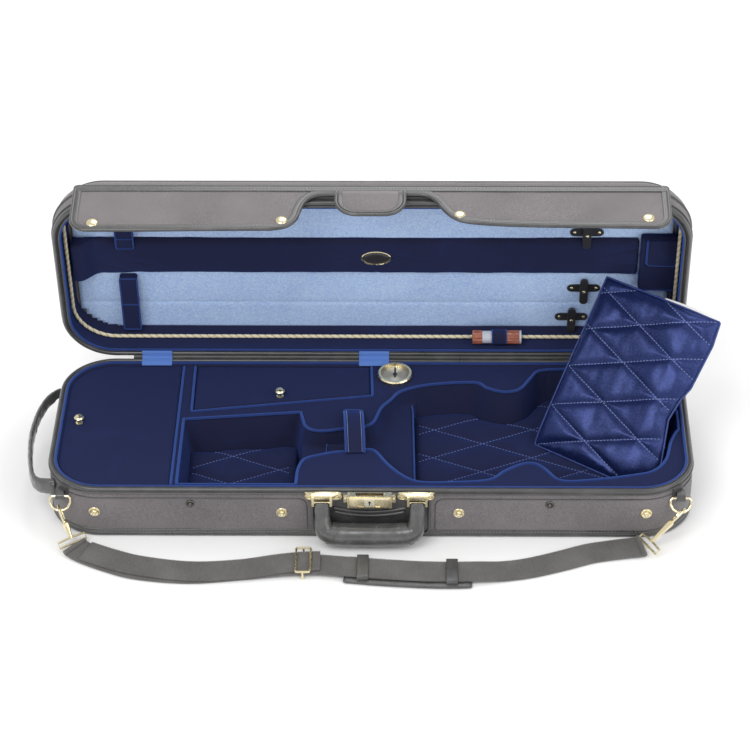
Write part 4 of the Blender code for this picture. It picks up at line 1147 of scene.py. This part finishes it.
def spine():
    """The leather strip that closes the back between the two halves."""
    bed = [(HALF_Y + 0.5, 58.0), (HALF_Y + 0.7, 66.0), (HALF_Y + 0.9, 71.0), (HALF_Y + 1.6, 73.6)]
    lid_side = []
    for w, d in ((1.2, 2.2), (0.7, 6.0), (0.7, 12.0), (0.8, 18.0)):
        p = LID @ (Vector((0.0, -w, d)) * MM) / MM
        lid_side.append((p.y, p.z))
    run = even(through([*bed, *lid_side], 5), 1.0)
    path = np.column_stack([np.full(len(run), 11.0), run])
    obj = sweep("rear_spine", path, oval(0.5, 323.0, 24, 0.25), (1, 0, 0), sharp=60)
    obj.data.materials.append(LEATHER)
    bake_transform(obj)


def hinge_covers():
    """Light velvet strips glued over the hinges, shaped round the bend between the base and the open lid."""
    for x, side in zip(HINGE_X, ("left", "middle", "right")):
        bed = [(HALF_Y - 11.5, BED_TOP + 1.6), (HALF_Y - 9.5, RIM_TOP - 0.4), (HALF_Y - 6.0, RIM_TOP + 0.2),
               (HALF_Y - 3.0, RIM_TOP + 0.5), (HALF_Y - 0.8, RIM_TOP + 0.8)]
        lid_side = []
        for w, d in ((3.2, -0.5), (6.5, -0.2), (9.0, 0.4), (10.8, 2.0), (11.6, 3.8)):
            p = LID @ (Vector((x, -w, d)) * MM) / MM
            lid_side.append((p.y, p.z))
        run = even(through([*bed, *lid_side], 5), 0.8)
        path = np.column_stack([np.full(len(run), x), run])
        obj = sweep("hinge_cover_" + side, path, oval(0.55, 19.6, 24, 0.3), (1, 0, 0), sharp=60)
        obj.data.materials.append(TAB_VELVET)
        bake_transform(obj)


# ---------------------------------------------------------------- lid


def lid_cover():
    inner = [(60.0, 49.4), (18.0, 49.4), (8.0, 40.0), (8.0, 7.2)]
    side = [(0.4, 7.2), (-0.1, 12.0), (-0.4, 20.0), (-0.2, 30.0)]
    quarter = [math.radians(t) for t in range(0, 91, 9)]
    bend = [(20 * (1 - math.cos(t)), 32 + 20 * math.sin(t)) for t in quarter]
    top = [(26.0, 52.3), (40.0, 52.8), (58.0, 53.0)]
    obj = case_loft("lid_canvas_cover", [*inner, *side, *bend, *top], True)
    place(ruffle(obj, 0.4, 28.0, 11.0), "lid", LIT_LID_CANVAS, "canvas", "lid_shell", lid=True)
    place(case_tube("lid_side_welt", -0.4, 26.6, 1.9, True), "lid", LEATHER, "leather", lid=True)
    place(case_tube("lid_edge_welt", 7.6, 47.6, 2.1, True), "lid", LEATHER, "leather", lid=True)
    run = case_ring(-0.6, 23.2, True)
    place(stitches("lid_side_stitches", [np.vstack([run, run[:1]])], (0, 0, 0.5), length=2.6, gap=1.7,
                   r=0.45), "lid", DARK_THREAD, "leather", lid=True)
    pocket = [(24.0, 52.6), (22.6, 53.4), (22.4, 55.6), (23.6, 57.6), (27.0, 58.6), (40.0, 59.4),
              (62.0, 59.8)]
    place(ruffle(case_loft("outer_pocket", pocket, True), 0.7, 60.0, 4.0), "lid", LIT_LID_CANVAS, "canvas",
          lid=True)
    place(case_tube("outer_pocket_piping", 24.2, 57.8, 1.7, True), "lid", LEATHER, "leather", lid=True)
    zip_run = case_ring(22.2, 55.4, True)
    place(stitches("outer_pocket_zip", [np.vstack([zip_run, zip_run[:1]])], (0, 0, 0.4), length=1.3,
                   gap=0.8, r=0.7),
          "lid", BLACK, "black_metal", lid=True)
    pull = [[(8.0 + a, LID_FRONT + 18.6 - d, 55.6 + b) for a, b in rounded(-2.0, 2.0, -9.0, 1.5, 1.6, 4)]
            for d in (0.0, 1.2)]
    place(loft("zip_pull", pull), "lid", BRASS, "brass", lid=True)


def lid_lining():
    outer = [(4.4, 5.4), (4.4, 35.7), (11.0, 45.6)]
    inner = [(15.2, 45.6), (13.2, 42.0), (10.6, 37.0), (9.4, 33.0), (8.9, 26.0), (8.9, 16.0), (9.2, 9.0),
             (9.8, 5.4)]
    obj = case_loft("lid_wall_velvet", [*outer, *inner], True, True)
    place(ruffle(obj, 0.5, 30.0, 8.0), "lid", VELVET, "velvet", "lid_wall_lining", lid=True)
    panel_low = span_lid("lid_panel")
    xs = np.linspace(panel_low[0].x + 0.5, panel_low[1].x - 0.5, 121)
    ws = np.linspace(9.0, 258.0, 150)
    seams = (58.0, 141.0, 208.0)
    inside = in_polygon(case_ring(14.0, 0, True))
    index, verts, faces = {}, [], []
    for i, x in enumerate(xs):
        for j, w in enumerate(ws):
            if not inside(x, -w):
                continue
            away = min(abs(w - s) for s in seams)
            puff = 1.1 * (1 - math.exp(-away / 3.0)) + 0.35 * noise.noise(Vector((x / 60, w / 45, 0.3)))
            index[i, j] = len(verts)
            verts.append((x, -w, 46.1 - puff))
    for i, j in index:
        loop = [(i, j), (i + 1, j), (i + 1, j + 1), (i, j + 1)]
        if all(key in index for key in loop):
            faces.append([index[key] for key in loop])
    obj = build("ceiling_satin", verts, faces)
    solid = obj.modifiers.new("thick", "SOLIDIFY")
    solid.thickness = 1.2 * MM
    solid.offset = -1.0
    baked(obj)
    obj.data.shade_smooth()
    place(obj, "lid", SATIN, "light_satin", "lid_panel", lid=True)


def span_lid(node):
    """A node's box in the closed lid's own frame, in millimetres."""
    turn = LID.inverted()
    co = np.array([turn @ v.co for v in NODES[node].data.vertices]) / MM
    return Vector(co.min(0)), Vector(co.max(0))


def even_section(section):
    """A cross-section with points of one spacing, so cloth made from it creases evenly."""
    return even(section, 0.11, True)


def beam():
    """The padded velvet beam that the bows lie over, gathered beside its emblem."""
    low, high = span_lid("bow_beam")
    section = [(x / 30.0, y / 30.0) for x, y in rounded(-30, 30, -30, 30, 7.0, 6)]
    rings = []
    for x in np.linspace(low.x - 1.5, high.x, 150):
        swell = np.clip((-352.0 - x) / 22.0, 0, 1)
        front = low.z - 0.4 - 16.5 * swell * swell * (3 - 2 * swell)
        middle, half = (front + 46.0) / 2, (46.0 - front) / 2
        rings.append([(x, -142.0 + 31.0 * a, middle - half * b) for a, b in even_section(section)])
    obj = inflate(loft("beam_velvet", rings), 4.0, 2.6, 14)
    subdivided(obj)
    co = coordinates(obj)
    emblem = np.array([5.0, -141.0])
    front = np.clip((44.0 - co[:, 2]) / 3.0, 0, 1)
    off = co[:, :2] - emblem
    fold = np.zeros(len(co))
    for dx, dy, turn, long, deep in ((22, -10, 0.35, 26, 1.6), (24, 0, 0.05, 30, 1.8),
                                     (20, 12, -0.3, 24, 1.5),
                                     (-24, -8, -0.3, 24, 1.3), (-24, 6, 0.25, 22, 1.3),
                                     (0, 22, 1.4, 12, 1.2),
                                     (-302, 22, -0.15, 26, 2.2), (-300, 8, 0.3, 18, 1.6),
                                     (-335, 16, 0.2, 20, 1.8),
                                     (318, 10, 0.2, 22, 1.8), (322, -14, -0.2, 20, 1.6)):
        c, s = math.cos(turn), math.sin(turn)
        u = (off[:, 0] - dx) * c + (off[:, 1] - dy) * s
        v = -(off[:, 0] - dx) * s + (off[:, 1] - dy) * c
        fold += deep * np.exp(-(u / long) ** 2) * np.exp(-(v / 2.6) ** 2)
    co[:, 2] += front * fold * 0.8
    set_coordinates(obj, co)
    ruffle(obj, 0.8, 42.0, 13.0)
    hit, where, _, _ = obj.ray_cast(Vector((5.0, -141.0, 0.0)) * MM, Vector((0, 0, 1)))
    top = where.z / MM - 1.6 if hit else 36.0
    place(obj, "lid", VELVET, "velvet", "bow_beam", lid=True)
    plate = [[(5.0 + x, -141.0 + y, z) for x, y in oval(a, b, 48)] for a, b, z in
             ((19.5, 12.0, top + 2.4), (19.5, 12.0, top + 0.6), (18.6, 11.1, top), (17.4, 9.9, top + 0.1),
              (17.0, 9.5, top + 0.7))]
    place(loft("emblem_ring", plate, sharp=30), "lid", BRASS, "brass", lid=True)
    blank = [[(5.0 + x, -141.0 + y, z) for x, y in oval(a, b, 48)] for a, b, z in
             ((17.2, 9.7, top + 0.9), (17.0, 9.5, top + 0.4), (12.0, 6.5, top + 0.15),
              (4.0, 2.0, top + 0.1))]
    place(loft("emblem_blank", blank, sharp=None), "lid", BLACK, "black_metal", lid=True)


def sleeves():
    """Velvet sleeves for the bow tips, each edge bound in the piping velvet, whose brighter blue is painted
    sheen.
    """
    for name, node, cuts in (("lower", "tip_holder_lower", (18.0, 62.0, 107.5)),
                             ("upper", "tip_holder_upper", (160.0, 176.0, 250.0))):
        low, high = span_lid(node)
        obj = soft_copy(node + "_velvet", node, 1.7, 3, 0.0, True)
        place(ruffle(obj, 0.35, 14.0, 3.0), "lid", VELVET, "velvet", node, lid=True)
        for x in (low.x + 0.4, high.x - 0.4):
            run = even([(x, -w, low.z + 0.2) for w in np.linspace(cuts[0], cuts[-1], 12)], 3.0)
            place(tube("sleeve_edge_%s_%s" % (name, "left" if x < -315 else "right"), run, 1.05), "lid",
                  SHEEN_PIPING,
                  "velvet", lid=True)
        for number, w in enumerate(cuts):
            run = [(x, -w, low.z + 0.1) for x in np.linspace(low.x, high.x, 8)]
            place(tube("sleeve_mouth_%s_%d" % (name, number), run, 1.05, (0, 1, 0)), "lid", SHEEN_PIPING,
                  "velvet", lid=True)


def end_pocket():
    obj = soft_copy("end_pocket_velvet", "lid_end_pocket", 2.2, 4, 0.3, True)
    co = coordinates(obj)
    co[:, 0] += 4.6 * np.clip((co[:, 0] - 372.0) / 10.0, 0, 1) * np.clip((44.0 - co[:, 2]) / 6.0, 0, 1)
    set_coordinates(obj, co)
    place(ruffle(obj, 0.9, 22.0, 6.0), "lid", VELVET, "velvet", "lid_end_pocket", lid=True)
    low, high = span_lid("lid_end_pocket")
    left, right = low.x + 8.5, high.x + 3.2
    rings = []
    for d, s in ((0.6, 0.0), (-1.4, 0.2), (-2.6, 1.2)):
        rings.append([(x, -w, low.z + d) for x, w in rounded(left + s, right - s, 135.5 + s, 178.0, 5.0, 6)])
    place(ruffle(loft("end_pocket_flap", rings, sharp=60), 0.4, 10.0), "lid", VELVET, "velvet", lid=True)
    edge = [(left, 178.0), (left, 140.0), (left + 3.5, 136.2), (right - 3.0, 134.8), (right, 138.0),
            (right, 178.0)]
    run = [(x, -w, low.z - 1.0) for x, w in even(edge, 2.0)]
    place(tube("end_pocket_trim", run, 1.7), "lid", SHEEN_PIPING, "velvet", lid=True)
    run = [(x, -w, low.z + 0.3) for x, w in even([(low.x, 92.0), (right, 90.5)], 3.0)]
    place(tube("end_pocket_hem", run, 0.9), "lid", SHEEN_PIPING, "velvet", lid=True)


def clips():
    for number in range(1, 5):
        joint = JOINTS["bow_button_turn_%d" % number]
        hub = LID.inverted() @ Vector(joint["pos_m"]) / MM
        for sign, side in ((-1, "left"), (1, "right")):
            obj = screw((hub.x + sign * 15.6, hub.y, 42.2), (0, 0, -1), 2.3, "lid",
                        "clip_%d_screw_%s" % (number, side))
            reopen(obj, "lid")
        obj = screw((hub.x, hub.y, 34.5), (0, 0, -1), 2.5, "button_%d" % number,
                    "clip_%d_button_screw" % number)
        reopen(obj, "button_%d" % number)


def reopen(obj, body):
    """Carries a piece drawn in the lid's frame to the open lid."""
    obj.parent = None
    obj.matrix_world = Matrix.Identity(4)
    obj.data.transform(LID)
    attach(obj, body)


def rope():
    """Three strands laid round one another."""
    inset = 12.2
    half_x = HALF_X - inset
    low = HINGE.y - HALF_Y + inset
    r = CORNER - inset
    far = low + 2 * HALF_Y - 2 * inset
    run = [*arc(-half_x + r, -far + r, r, 215, 180, 12), (-half_x, -120.0)]
    run += arc(-half_x + r, -low - r, r, 180, 90, 24)
    run += [(x, -low) for x in range(-300, 301, 60)]
    run += arc(half_x - r, -low - r, r, 90, 0, 24)
    run += [(half_x, -120.0), *arc(half_x - r, -far + r, r, 0, -35, 12)]
    line = even(run, 0.9)
    ahead = np.gradient(line, axis=0)
    ahead /= np.linalg.norm(ahead, axis=1)[:, None]
    side = np.stack([-ahead[:, 1], ahead[:, 0]], 1)
    for strand, look in enumerate((CREAM, CREAM, GOLD)):
        turn = np.arange(len(line)) * 0.9 * math.tau / 9.5 + strand * math.tau / 3
        path = np.column_stack([line + side * (1.2 * np.cos(turn))[:, None], 26.0 + 1.2 * np.sin(turn)])
        replaced = ("cord",) if strand == 0 else ()
        place(tube("cord_strand_%d" % (strand + 1), path, 1.3 if strand < 2 else 1.0, sides=8), "lid", look,
              "rope",
              *replaced, lid=True)


def humidifier():
    low, high = span_lid("humidifier")
    y, z = (low.y + high.y) / 2, (low.z + high.z) / 2
    axis = (1, 0, 0)

    def piece(name, profile, look, **given):
        obj = turned(name, profile, (low.x, y, z), axis, given.pop("sides", 48), **given)
        return place(obj, "humidifier", look, "humidifier_plastic", lid=True)

    cap = [(0.0, 0.0), (7.6, 0.0), (8.8, 0.8), (9.0, 2.0), (9.0, 12.0), (8.4, 13.0), (7.4, 13.0)]
    body = piece("humidifier_cap_left", cap, CAP_BROWN, ribs=16, rib_depth=0.8, sides=96)
    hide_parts("humidifier")
    piece("humidifier_tube", [(7.6, 12.6), (8.2, 13.4), (8.2, 43.6), (7.6, 44.4)], FROST)
    far = [(7.4, 44.0), (8.4, 44.0), (9.0, 45.0), (9.0, 60.0), (8.6, 61.0), (0.0, 61.0)]
    piece("humidifier_cap_right", far, CAP_BROWN, ribs=16, rib_depth=0.8, sides=96)
    piece("humidifier_end_ring",
          [(0.0, 61.0), (8.2, 61.0), (9.0, 61.6), (9.0, 63.2), (8.0, 64.0), (0.0, 64.0)], FROST)
    loop = [(0, y + 9.4 * math.cos(t), z + 9.4 * math.sin(t)) for t in np.linspace(math.radians(75),
                                                                                   math.radians(295), 26)]
    path = np.array([(164.0, b, c) for _, b, c in loop])
    place(sweep("humidifier_loop", path, oval(0.7, 9.0, 16, 0.4), (1, 0, 0), sharp=60), "lid", VELVET,
          "velvet", lid=True)
    for dx, name in ((-9.0, "left"), (9.0, "right")):
        place(tube("humidifier_loop_edge_" + name, path + np.array([dx, 0, 0]), 0.9, (1, 0, 0)), "lid",
              SHEEN_PIPING, "velvet",
              lid=True)


# ---------------------------------------------------------------- front flap and tab

FLAP_TOP = 24.0
FLAP_EDGE = [(-367.0, FLAP_TOP), (-367.0, -37.0), *arc(-347.0, -37.5, 20.0, 182, 266, 9), (-280.0, -57.5),
             (-200.0, -56.5),
             *through([(-122.0, -55.0), (-103.0, -50.0), (-91.0, -37.0), (-86.5, -21.0), (-83.0, -9.0),
                       (-76.0, 1.5),
                       (-66.0, 7.5), (-52.0, 9.0)], 5), (-20.0, 9.0), (20.0, 9.0),
             *through([(52.0, 9.0), (66.0, 8.0), (76.0, 2.0), (84.0, -9.0), (90.0, -20.0), (100.0, -33.0),
                       (115.0, -41.5), (140.0, -45.0), (166.0, -46.5)], 5), (259.0, -49.0),
             *arc(347.0, -31.5, 20.0, 274, 358, 9), (367.0, -31.0), (367.0, FLAP_TOP)]


def wave(x, z):
    """How far the hanging flap stands away from flat."""
    return -1.3 * (FLAP_TOP - z) / 76.0 * math.sin(x / 47.0) * (0.6 + 0.4 * math.sin(x / 121.0 + 1.0))


def front_flap():
    edge = even(FLAP_EDGE[1:-1], 4.0)
    cols = np.array(sorted(set(np.round(edge[:, 0], 2))))
    order = np.argsort(edge[:, 0])
    bottom = np.interp(cols, edge[order, 0], edge[order, 1])
    rows = np.linspace(0.0, 1.0, 16)
    verts, faces = [], []
    for layer in (-1.2, 1.2):
        for x, low in zip(cols, bottom):
            for t in rows:
                z = low + (FLAP_TOP - low) * t
                verts.append((x, LID_FRONT - 5.2 + layer + wave(x, z), z))
    n, k = len(cols), len(rows)
    faces = two_skins(n, k)
    obj = build("front_flap_canvas", verts, faces, sharp=60)
    place(ruffle(obj, 0.3, 24.0, 2.0), "flap", LIT_LID_CANVAS, "canvas", "front_flap", lid=True)
    line = even(FLAP_EDGE, 3.0)

    def along(offset, out):
        return [(x, LID_FRONT - 5.2 + wave(x, z) + out, z) for x, z in aside(line, offset)]

    place(tube("flap_piping", along(0.8, -0.6), 2.5, (0, -1, 0)), "flap", LEATHER, "leather", lid=True)
    place(sweep("flap_binding", along(5.6, -1.5), oval(3.2, 0.7, 12, 0.5), (0, -1, 0), sharp=60), "flap",
          LEATHER,
          "leather", lid=True)
    place(stitches("flap_stitches", [along(6.2, -2.2)], (0, -1, 0), length=2.4, gap=1.6, r=0.42), "flap",
          DARK_THREAD, "leather", lid=True)
    across = np.linspace(-367, 367, 150)

    def level(z, out):
        return [(x, LID_FRONT - 5.2 + wave(x, z) + out, z) for x in across]

    place(sweep("flap_top_band", level(18.0, -1.7), oval(4.6, 1.0, 16, 0.5), (0, -1, 0), sharp=60), "flap",
          LEATHER,
          "leather", lid=True)
    place(stitches("flap_top_stitches", [level(18.0, -2.7)], (0, -1, 0), length=2.6, gap=1.7, r=0.45),
          "flap",
          DARK_THREAD, "leather", lid=True)
    place(tube("flap_top_welt", level(24.4, 0.0), 2.2, (0, -1, 0)), "lid", LEATHER, "leather", lid=True)


def two_skins(n, k):
    """Faces of two n by k grids of points joined round their border."""
    faces = []
    for layer in (0, n * k):
        for i in range(n - 1):
            for j in range(k - 1):
                a = layer + i * k + j
                faces.append((a, a + k, a + k + 1, a + 1))
    border = [i * k for i in range(n)] + [(n - 1) * k + j for j in range(1, k)]
    border += [i * k + k - 1 for i in range(n - 2, -1, -1)] + [j for j in range(k - 2, 0, -1)]
    for a, b in zip(border, border[1:] + border[:1]):
        faces.append((a, b, b + n * k, a + n * k))
    return faces


def lock_tab():
    """A stiffened canvas tab, D-shaped, curving out over the lock."""
    profile = even(through([(-5.2, 15.0), (-8.0, 11.0), (-13.0, 4.0), (-16.4, -4.0), (-17.2, -14.0),
                            (-17.3, -28.0),
                            (-17.3, -41.7)], 6), 2.0)
    bend_y = lambda z: float(np.interp(-z, -profile[:, 1], profile[:, 0]))
    shape = [(42.0, 15.0), (42.0, -16.7), *arc(17.0, -16.7, 25.0, 360, 270, 12),
             *arc(-17.0, -16.7, 25.0, 270, 180, 12),
             (-42.0, -16.7), (-42.0, 15.0)]
    edge = even(shape, 2.5)
    rows = np.linspace(15.0, -41.6, 36)
    half = []
    for z in rows:
        if z > -16.7:
            half.append(42.0)
        else:
            half.append(17.0 + math.sqrt(max(0.0, 25.0 ** 2 - (z + 16.7) ** 2)))
    verts, k = [], 25
    for layer in (-1, 1):
        for z, h in zip(rows, half):
            for t in np.linspace(-1, 1, k):
                puff = 1.6 * (1 - t ** 4) * math.exp(-((z + 14) / 26.0) ** 4)
                out = bend_y(z) + layer * 1.1 - (puff if layer < 0 else 0.0)
                verts.append((h * t, LID_FRONT + out, z))
    faces = two_skins(len(rows), k)
    place(ruffle(build("tab_canvas", verts, faces, sharp=60), 0.2, 12.0), "tab", LIT_LID_CANVAS, "canvas",
          "lock_tab", lid=True)
    pipe = [(x, LID_FRONT + bend_y(z) - 0.6, z) for x, z in edge]
    place(tube("tab_piping", pipe, 2.2, (0, -1, 0.2)), "tab", LEATHER, "leather", lid=True)
    inner = aside(edge, -5.0)
    sewn = [(x, LID_FRONT + bend_y(z) - 1.6, z) for x, z in inner]
    place(sweep("tab_binding", sewn, oval(2.6, 0.8, 12, 0.5), (0, -1, 0.2), sharp=60), "tab", LEATHER,
          "leather", lid=True)
    row = [(x, LID_FRONT + bend_y(z) - 2.5, z) for x, z in inner]
    place(stitches("tab_stitches", [row], (0, -1, 0), length=2.4, gap=1.6, r=0.42), "tab", DARK_THREAD,
          "leather", lid=True)


# ---------------------------------------------------------------- blanket

BLANKET_SIDE = ((-8.0, 176.0), (20.0, 177.0), (54.0, 169.0), (88.0, 161.0), (116.0, 165.0), (135.0, 171.0),
                (194.0, 174.0), (225.0, 171.0))
BLANKET_LEFT = 7.5
BLANKET_LOW = -7.5
BLANKET_HIGH = 225.0


def blanket_place():
    """Carries points from the blanket's own axes (hem, side and face) to the case."""
    along = Vector((0.815, -0.580, 0.0)).normalized()
    up = Vector((0.397, 0.558, 0.729)).normalized()
    face = along.cross(up).normalized()
    co = np.array([v.co for v in NODES["blanket"].data.vertices]) / MM
    corner = (co.min(0) + co.max(0)) / 2 - 86.0 * np.array(along) - 109.5 * np.array(up)
    turn = np.array([along, up, face])
    return (lambda points: np.asarray(points, float) @ turn + corner), face


def blanket_sag(a, b):
    """The folded side rolls back and the lower hem tucks in."""
    a, b = np.asarray(a, float), np.asarray(b, float)
    roll_back = -12.0 * np.clip((a - 122.0) / 54.0, 0, 1) ** 2
    return roll_back + 1.4 * np.sin(a / 31.0 + b / 54.0) - 3.0 * np.clip((25.0 - b) / 30.0, 0, 1) ** 2


def blanket():
    out, face = blanket_place()
    side_b, side_a = zip(*BLANKET_SIDE)
    lines = diagonals(0.45, (-65.0, -11.3, 43.0, 97.3, 148.0, 198.0), 0.41,
                      (52.0, 106.3, 164.0, 215.4, 264.0, 316.0))
    na, nb = 60, 80
    heights = np.linspace(BLANKET_LOW, BLANKET_HIGH, nb)
    verts = []
    for layer in (1, -1):
        for u in np.linspace(0, 1, na):
            for b in heights:
                right = float(np.interp(b, side_b, side_a))
                a = BLANKET_LEFT + (right - BLANKET_LEFT) * u
                edge = min(a - BLANKET_LEFT, b - BLANKET_LOW, right - a, BLANKET_HIGH - b)
                verts.append((a, b, layer * (4.8 * (1 - math.exp(-edge / 4.0)) + 0.8)))
    obj = inflate(build("blanket_quilt", verts, two_skins(na, nb)), 2.5, 3.0, 12)
    subdivided(obj)
    co = coordinates(obj)
    right = np.interp(co[:, 1], side_b, side_a)
    away = from_line(co[:, 0], co[:, 1], lines)
    edge = np.minimum.reduce([co[:, 0] - BLANKET_LEFT, co[:, 1] - BLANKET_LOW, right - co[:, 0],
                              BLANKET_HIGH - co[:, 1]])
    edge = np.maximum(edge, 0.0)
    sewn = np.exp(-(away / 5.5) ** 1.3) * np.clip(edge / 6.0, 0, 1)
    folds = np.array([noise.noise(Vector((p[0] / 26.0 + p[1] / 70.0, p[1] / 60.0, 2.0))) for p in co])
    fine = np.array([noise.noise(Vector((p[0] / 11.0, p[1] / 38.0, 7.0))) for p in co])
    co[:, 2] *= 1 - 0.45 * sewn
    co[:, 2] += np.sign(co[:, 2]) * (1.6 * folds + 0.45 * fine) * np.clip(edge / 12.0, 0, 1)
    hem = np.clip((10.0 - (co[:, 1] - BLANKET_LOW)) / 10.0, 0, 1)
    co[:, 2] += hem * 0.9 * np.sin(co[:, 0] / 2.6)
    co[:, 2] += blanket_sag(co[:, 0], co[:, 1])
    set_coordinates(obj, out(co))
    pieces = [place(obj, "blanket", BLANKET_SATIN, "blanket_satin", "blanket")]

    def inside(a, b):
        return BLANKET_LEFT + 1 < a < np.interp(b, side_b,
                                                side_a) - 1 and BLANKET_LOW + 1 < b < BLANKET_HIGH - 1

    rows = []
    for line in lines:
        run = clipped(line, inside, 0, 180)
        if len(run) > 4:
            start = out([(a, b, 40.0) for a, b in run])
            reach = np.array([surface_at(obj, p, -face) for p in start])
            rows.append(start - np.array(face) * (reach - 0.1)[:, None])
    pieces.append(place(stitches("blanket_stitches", rows, tuple(face), length=2.6, gap=1.8, r=0.38),
                        "blanket",
                        WHITE_THREAD, "blanket_satin"))
    rim = [(BLANKET_LEFT, b) for b in np.linspace(BLANKET_HIGH, BLANKET_LOW, 60)]
    rim += [(a, BLANKET_LOW) for a in np.linspace(BLANKET_LEFT, 176.0, 40)]
    rim += [(np.interp(b, side_b, side_a), b) for b in np.linspace(BLANKET_LOW, BLANKET_HIGH, 60)]
    rim += [(a, BLANKET_HIGH) for a in np.linspace(171.0, BLANKET_LEFT, 40)]
    rim = even(rim, 3.0)[:-1]
    path = out([(a, b, float(blanket_sag(a, b))) for a, b in rim])
    pieces.append(place(sweep("blanket_edge_piping", path, disc(1.3, 8), tuple(face), True, sharp=None),
                        "blanket",
          satin_look("blanket_edge", (0.015, 0.028, 0.12), (0.04, 0.075, 0.28), 0.0, 0.2, 0.45),
                        "blanket_satin"))
    layer = [(a, BLANKET_HIGH + 0.4 + 1.6 * math.sin((a - 92) / 74.0 * math.pi),
              float(blanket_sag(a, 215.0)) - 1.8)
             for a in np.linspace(94, 167, 30)]
    pieces.append(place(sweep("blanket_lining", out(layer), oval(2.2, 2.4, 12), tuple(face), sharp=None),
                        "blanket",
                        WHITE_CLOTH, "blanket_satin"))
    anchor = np.asarray(out([(86.0, 109.5, 0.0)]))[0] * MM
    for piece in pieces:
        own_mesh(piece)


def surface_at(obj, start, direction):
    """How far along a ray the object's surface lies, in millimetres."""
    hit, where, _, _ = obj.ray_cast(Vector(start) * MM, Vector(direction))
    return (where / MM - Vector(start)).length if hit else 40.0


# ---------------------------------------------------------------- metal and other kept parts


def kept_parts():
    """The hard CAD parts keep their shape and take their finish and slightly rounded edges."""
    finish = {
        "lock_case": BRASS, "lock_slide": BRASS, "handle_mount_left": BRASS, "handle_mount_right": BRASS,
        "hygrometer_case": BRASS, "end_door_knob": BRASS, "middle_door_knob": BRASS, "ring_left": BRASS,
        "ring_right": BRASS, "hook_left": BRASS, "hook_right": BRASS, "strap_buckle": BRASS,
              "lid_catch": BRASS,
        "hygrometer_needle": INK_AND_HOLE_SHADE, "handle_panel": LEATHER, "ring_tab_left": LEATHER,
              "ring_tab_right": LEATHER,
    }
    for side in ("left", "middle", "right"):
        finish.update({"hinge_base_leaf_" + side: BRASS, "hinge_lid_leaf_" + side: BRASS,
                       "hinge_pin_" + side: BRASS})
    for number in "1234":
        finish.update({"bow_clip_plate_" + number: BLACK, "bow_button_" + number: BLACK})
    for node, look in finish.items():
        obj = NODES[node]
        obj.data.materials.clear()
        obj.data.materials.append(look)
        obj.data.shade_smooth()
        obj.data.set_sharp_from_angle(angle=math.radians(35))
        edge = obj.modifiers.new("edges", "BEVEL")
        edge.width = 0.35 * MM
        edge.segments = 2
        edge.limit_method = "ANGLE"
        edge.angle_limit = math.radians(35)
        edge.harden_normals = False


# ---------------------------------------------------------------- stage


def stage():
    floor = build("floor",
                  [(-6000, -6000, -0.3), (6000, -6000, -0.3), (6000, 6000, -0.3), (-6000, 6000, -0.3)],
                  [(0, 1, 2, 3)])
    floor.data.materials.append(plain_look("pale_floor", (0.93, 0.93, 0.93), 0.8, 0.99))
    world = bpy.data.worlds.new("studio")
    bpy.context.scene.world = world
    world.use_nodes = True
    sky = world.node_tree.nodes["Background"]
    sky.inputs["Color"].default_value = (1.0, 1.0, 1.0, 1.0)
    sky.inputs["Strength"].default_value = 0.75
    for name, where, size, power in (("key", (-0.9, -1.6, 2.4), 1.6, 34.0),
                                     ("fill", (1.8, -1.2, 1.5), 1.8, 16.0),
                                     ("back", (0.2, 1.5, 2.2), 1.4, 18.0)):
        light = bpy.data.lights.new(name, "AREA")
        light.energy = power
        light.size = size
        lamp = bpy.data.objects.new(name, light)
        bpy.context.scene.collection.objects.link(lamp)
        lamp.location = where
        aim = Vector((0, 0, 0.08)) - Vector(where)
        lamp.rotation_euler = aim.to_track_quat("-Z", "Y").to_euler()


def camera():
    lens = bpy.data.cameras.new("camera")
    lens.sensor_width = 36.0
    lens.lens = 129.26
    lens.clip_end = 20.0
    obj = bpy.data.objects.new("camera", lens)
    bpy.context.scene.collection.objects.link(obj)
    view = Vector((-0.0169, 0.7930, -0.6090)).normalized()
    right = view.cross(Vector((0, 0, 1))).normalized()
    up = right.cross(view)
    roll_by = math.radians(-0.59)
    cos, sin = math.cos(roll_by), math.sin(roll_by)
    right, up = right * cos + up * sin, up * cos - right * sin
    turn = Matrix((right, up, -view)).transposed().to_4x4()
    obj.matrix_world = Matrix.Translation(Vector((61.95, -2661.37, 2193.81)) * MM) @ turn
    bpy.context.scene.camera = obj


def main():
    kept_parts()
    canvas_cover()
    rims()
    velvet_bed()
    floors()
    cushions()
    doors()
    neck_band()
    front_furniture()
    grips()
    webbing_strap()
    dial()
    spine()
    hinge_covers()
    lid_cover()
    lid_lining()
    beam()
    sleeves()
    end_pocket()
    clips()
    rope()
    humidifier()
    front_flap()
    lock_tab()
    blanket()
    stage()
    camera()
    bpy.context.scene.view_settings.view_transform = "Standard"


main()
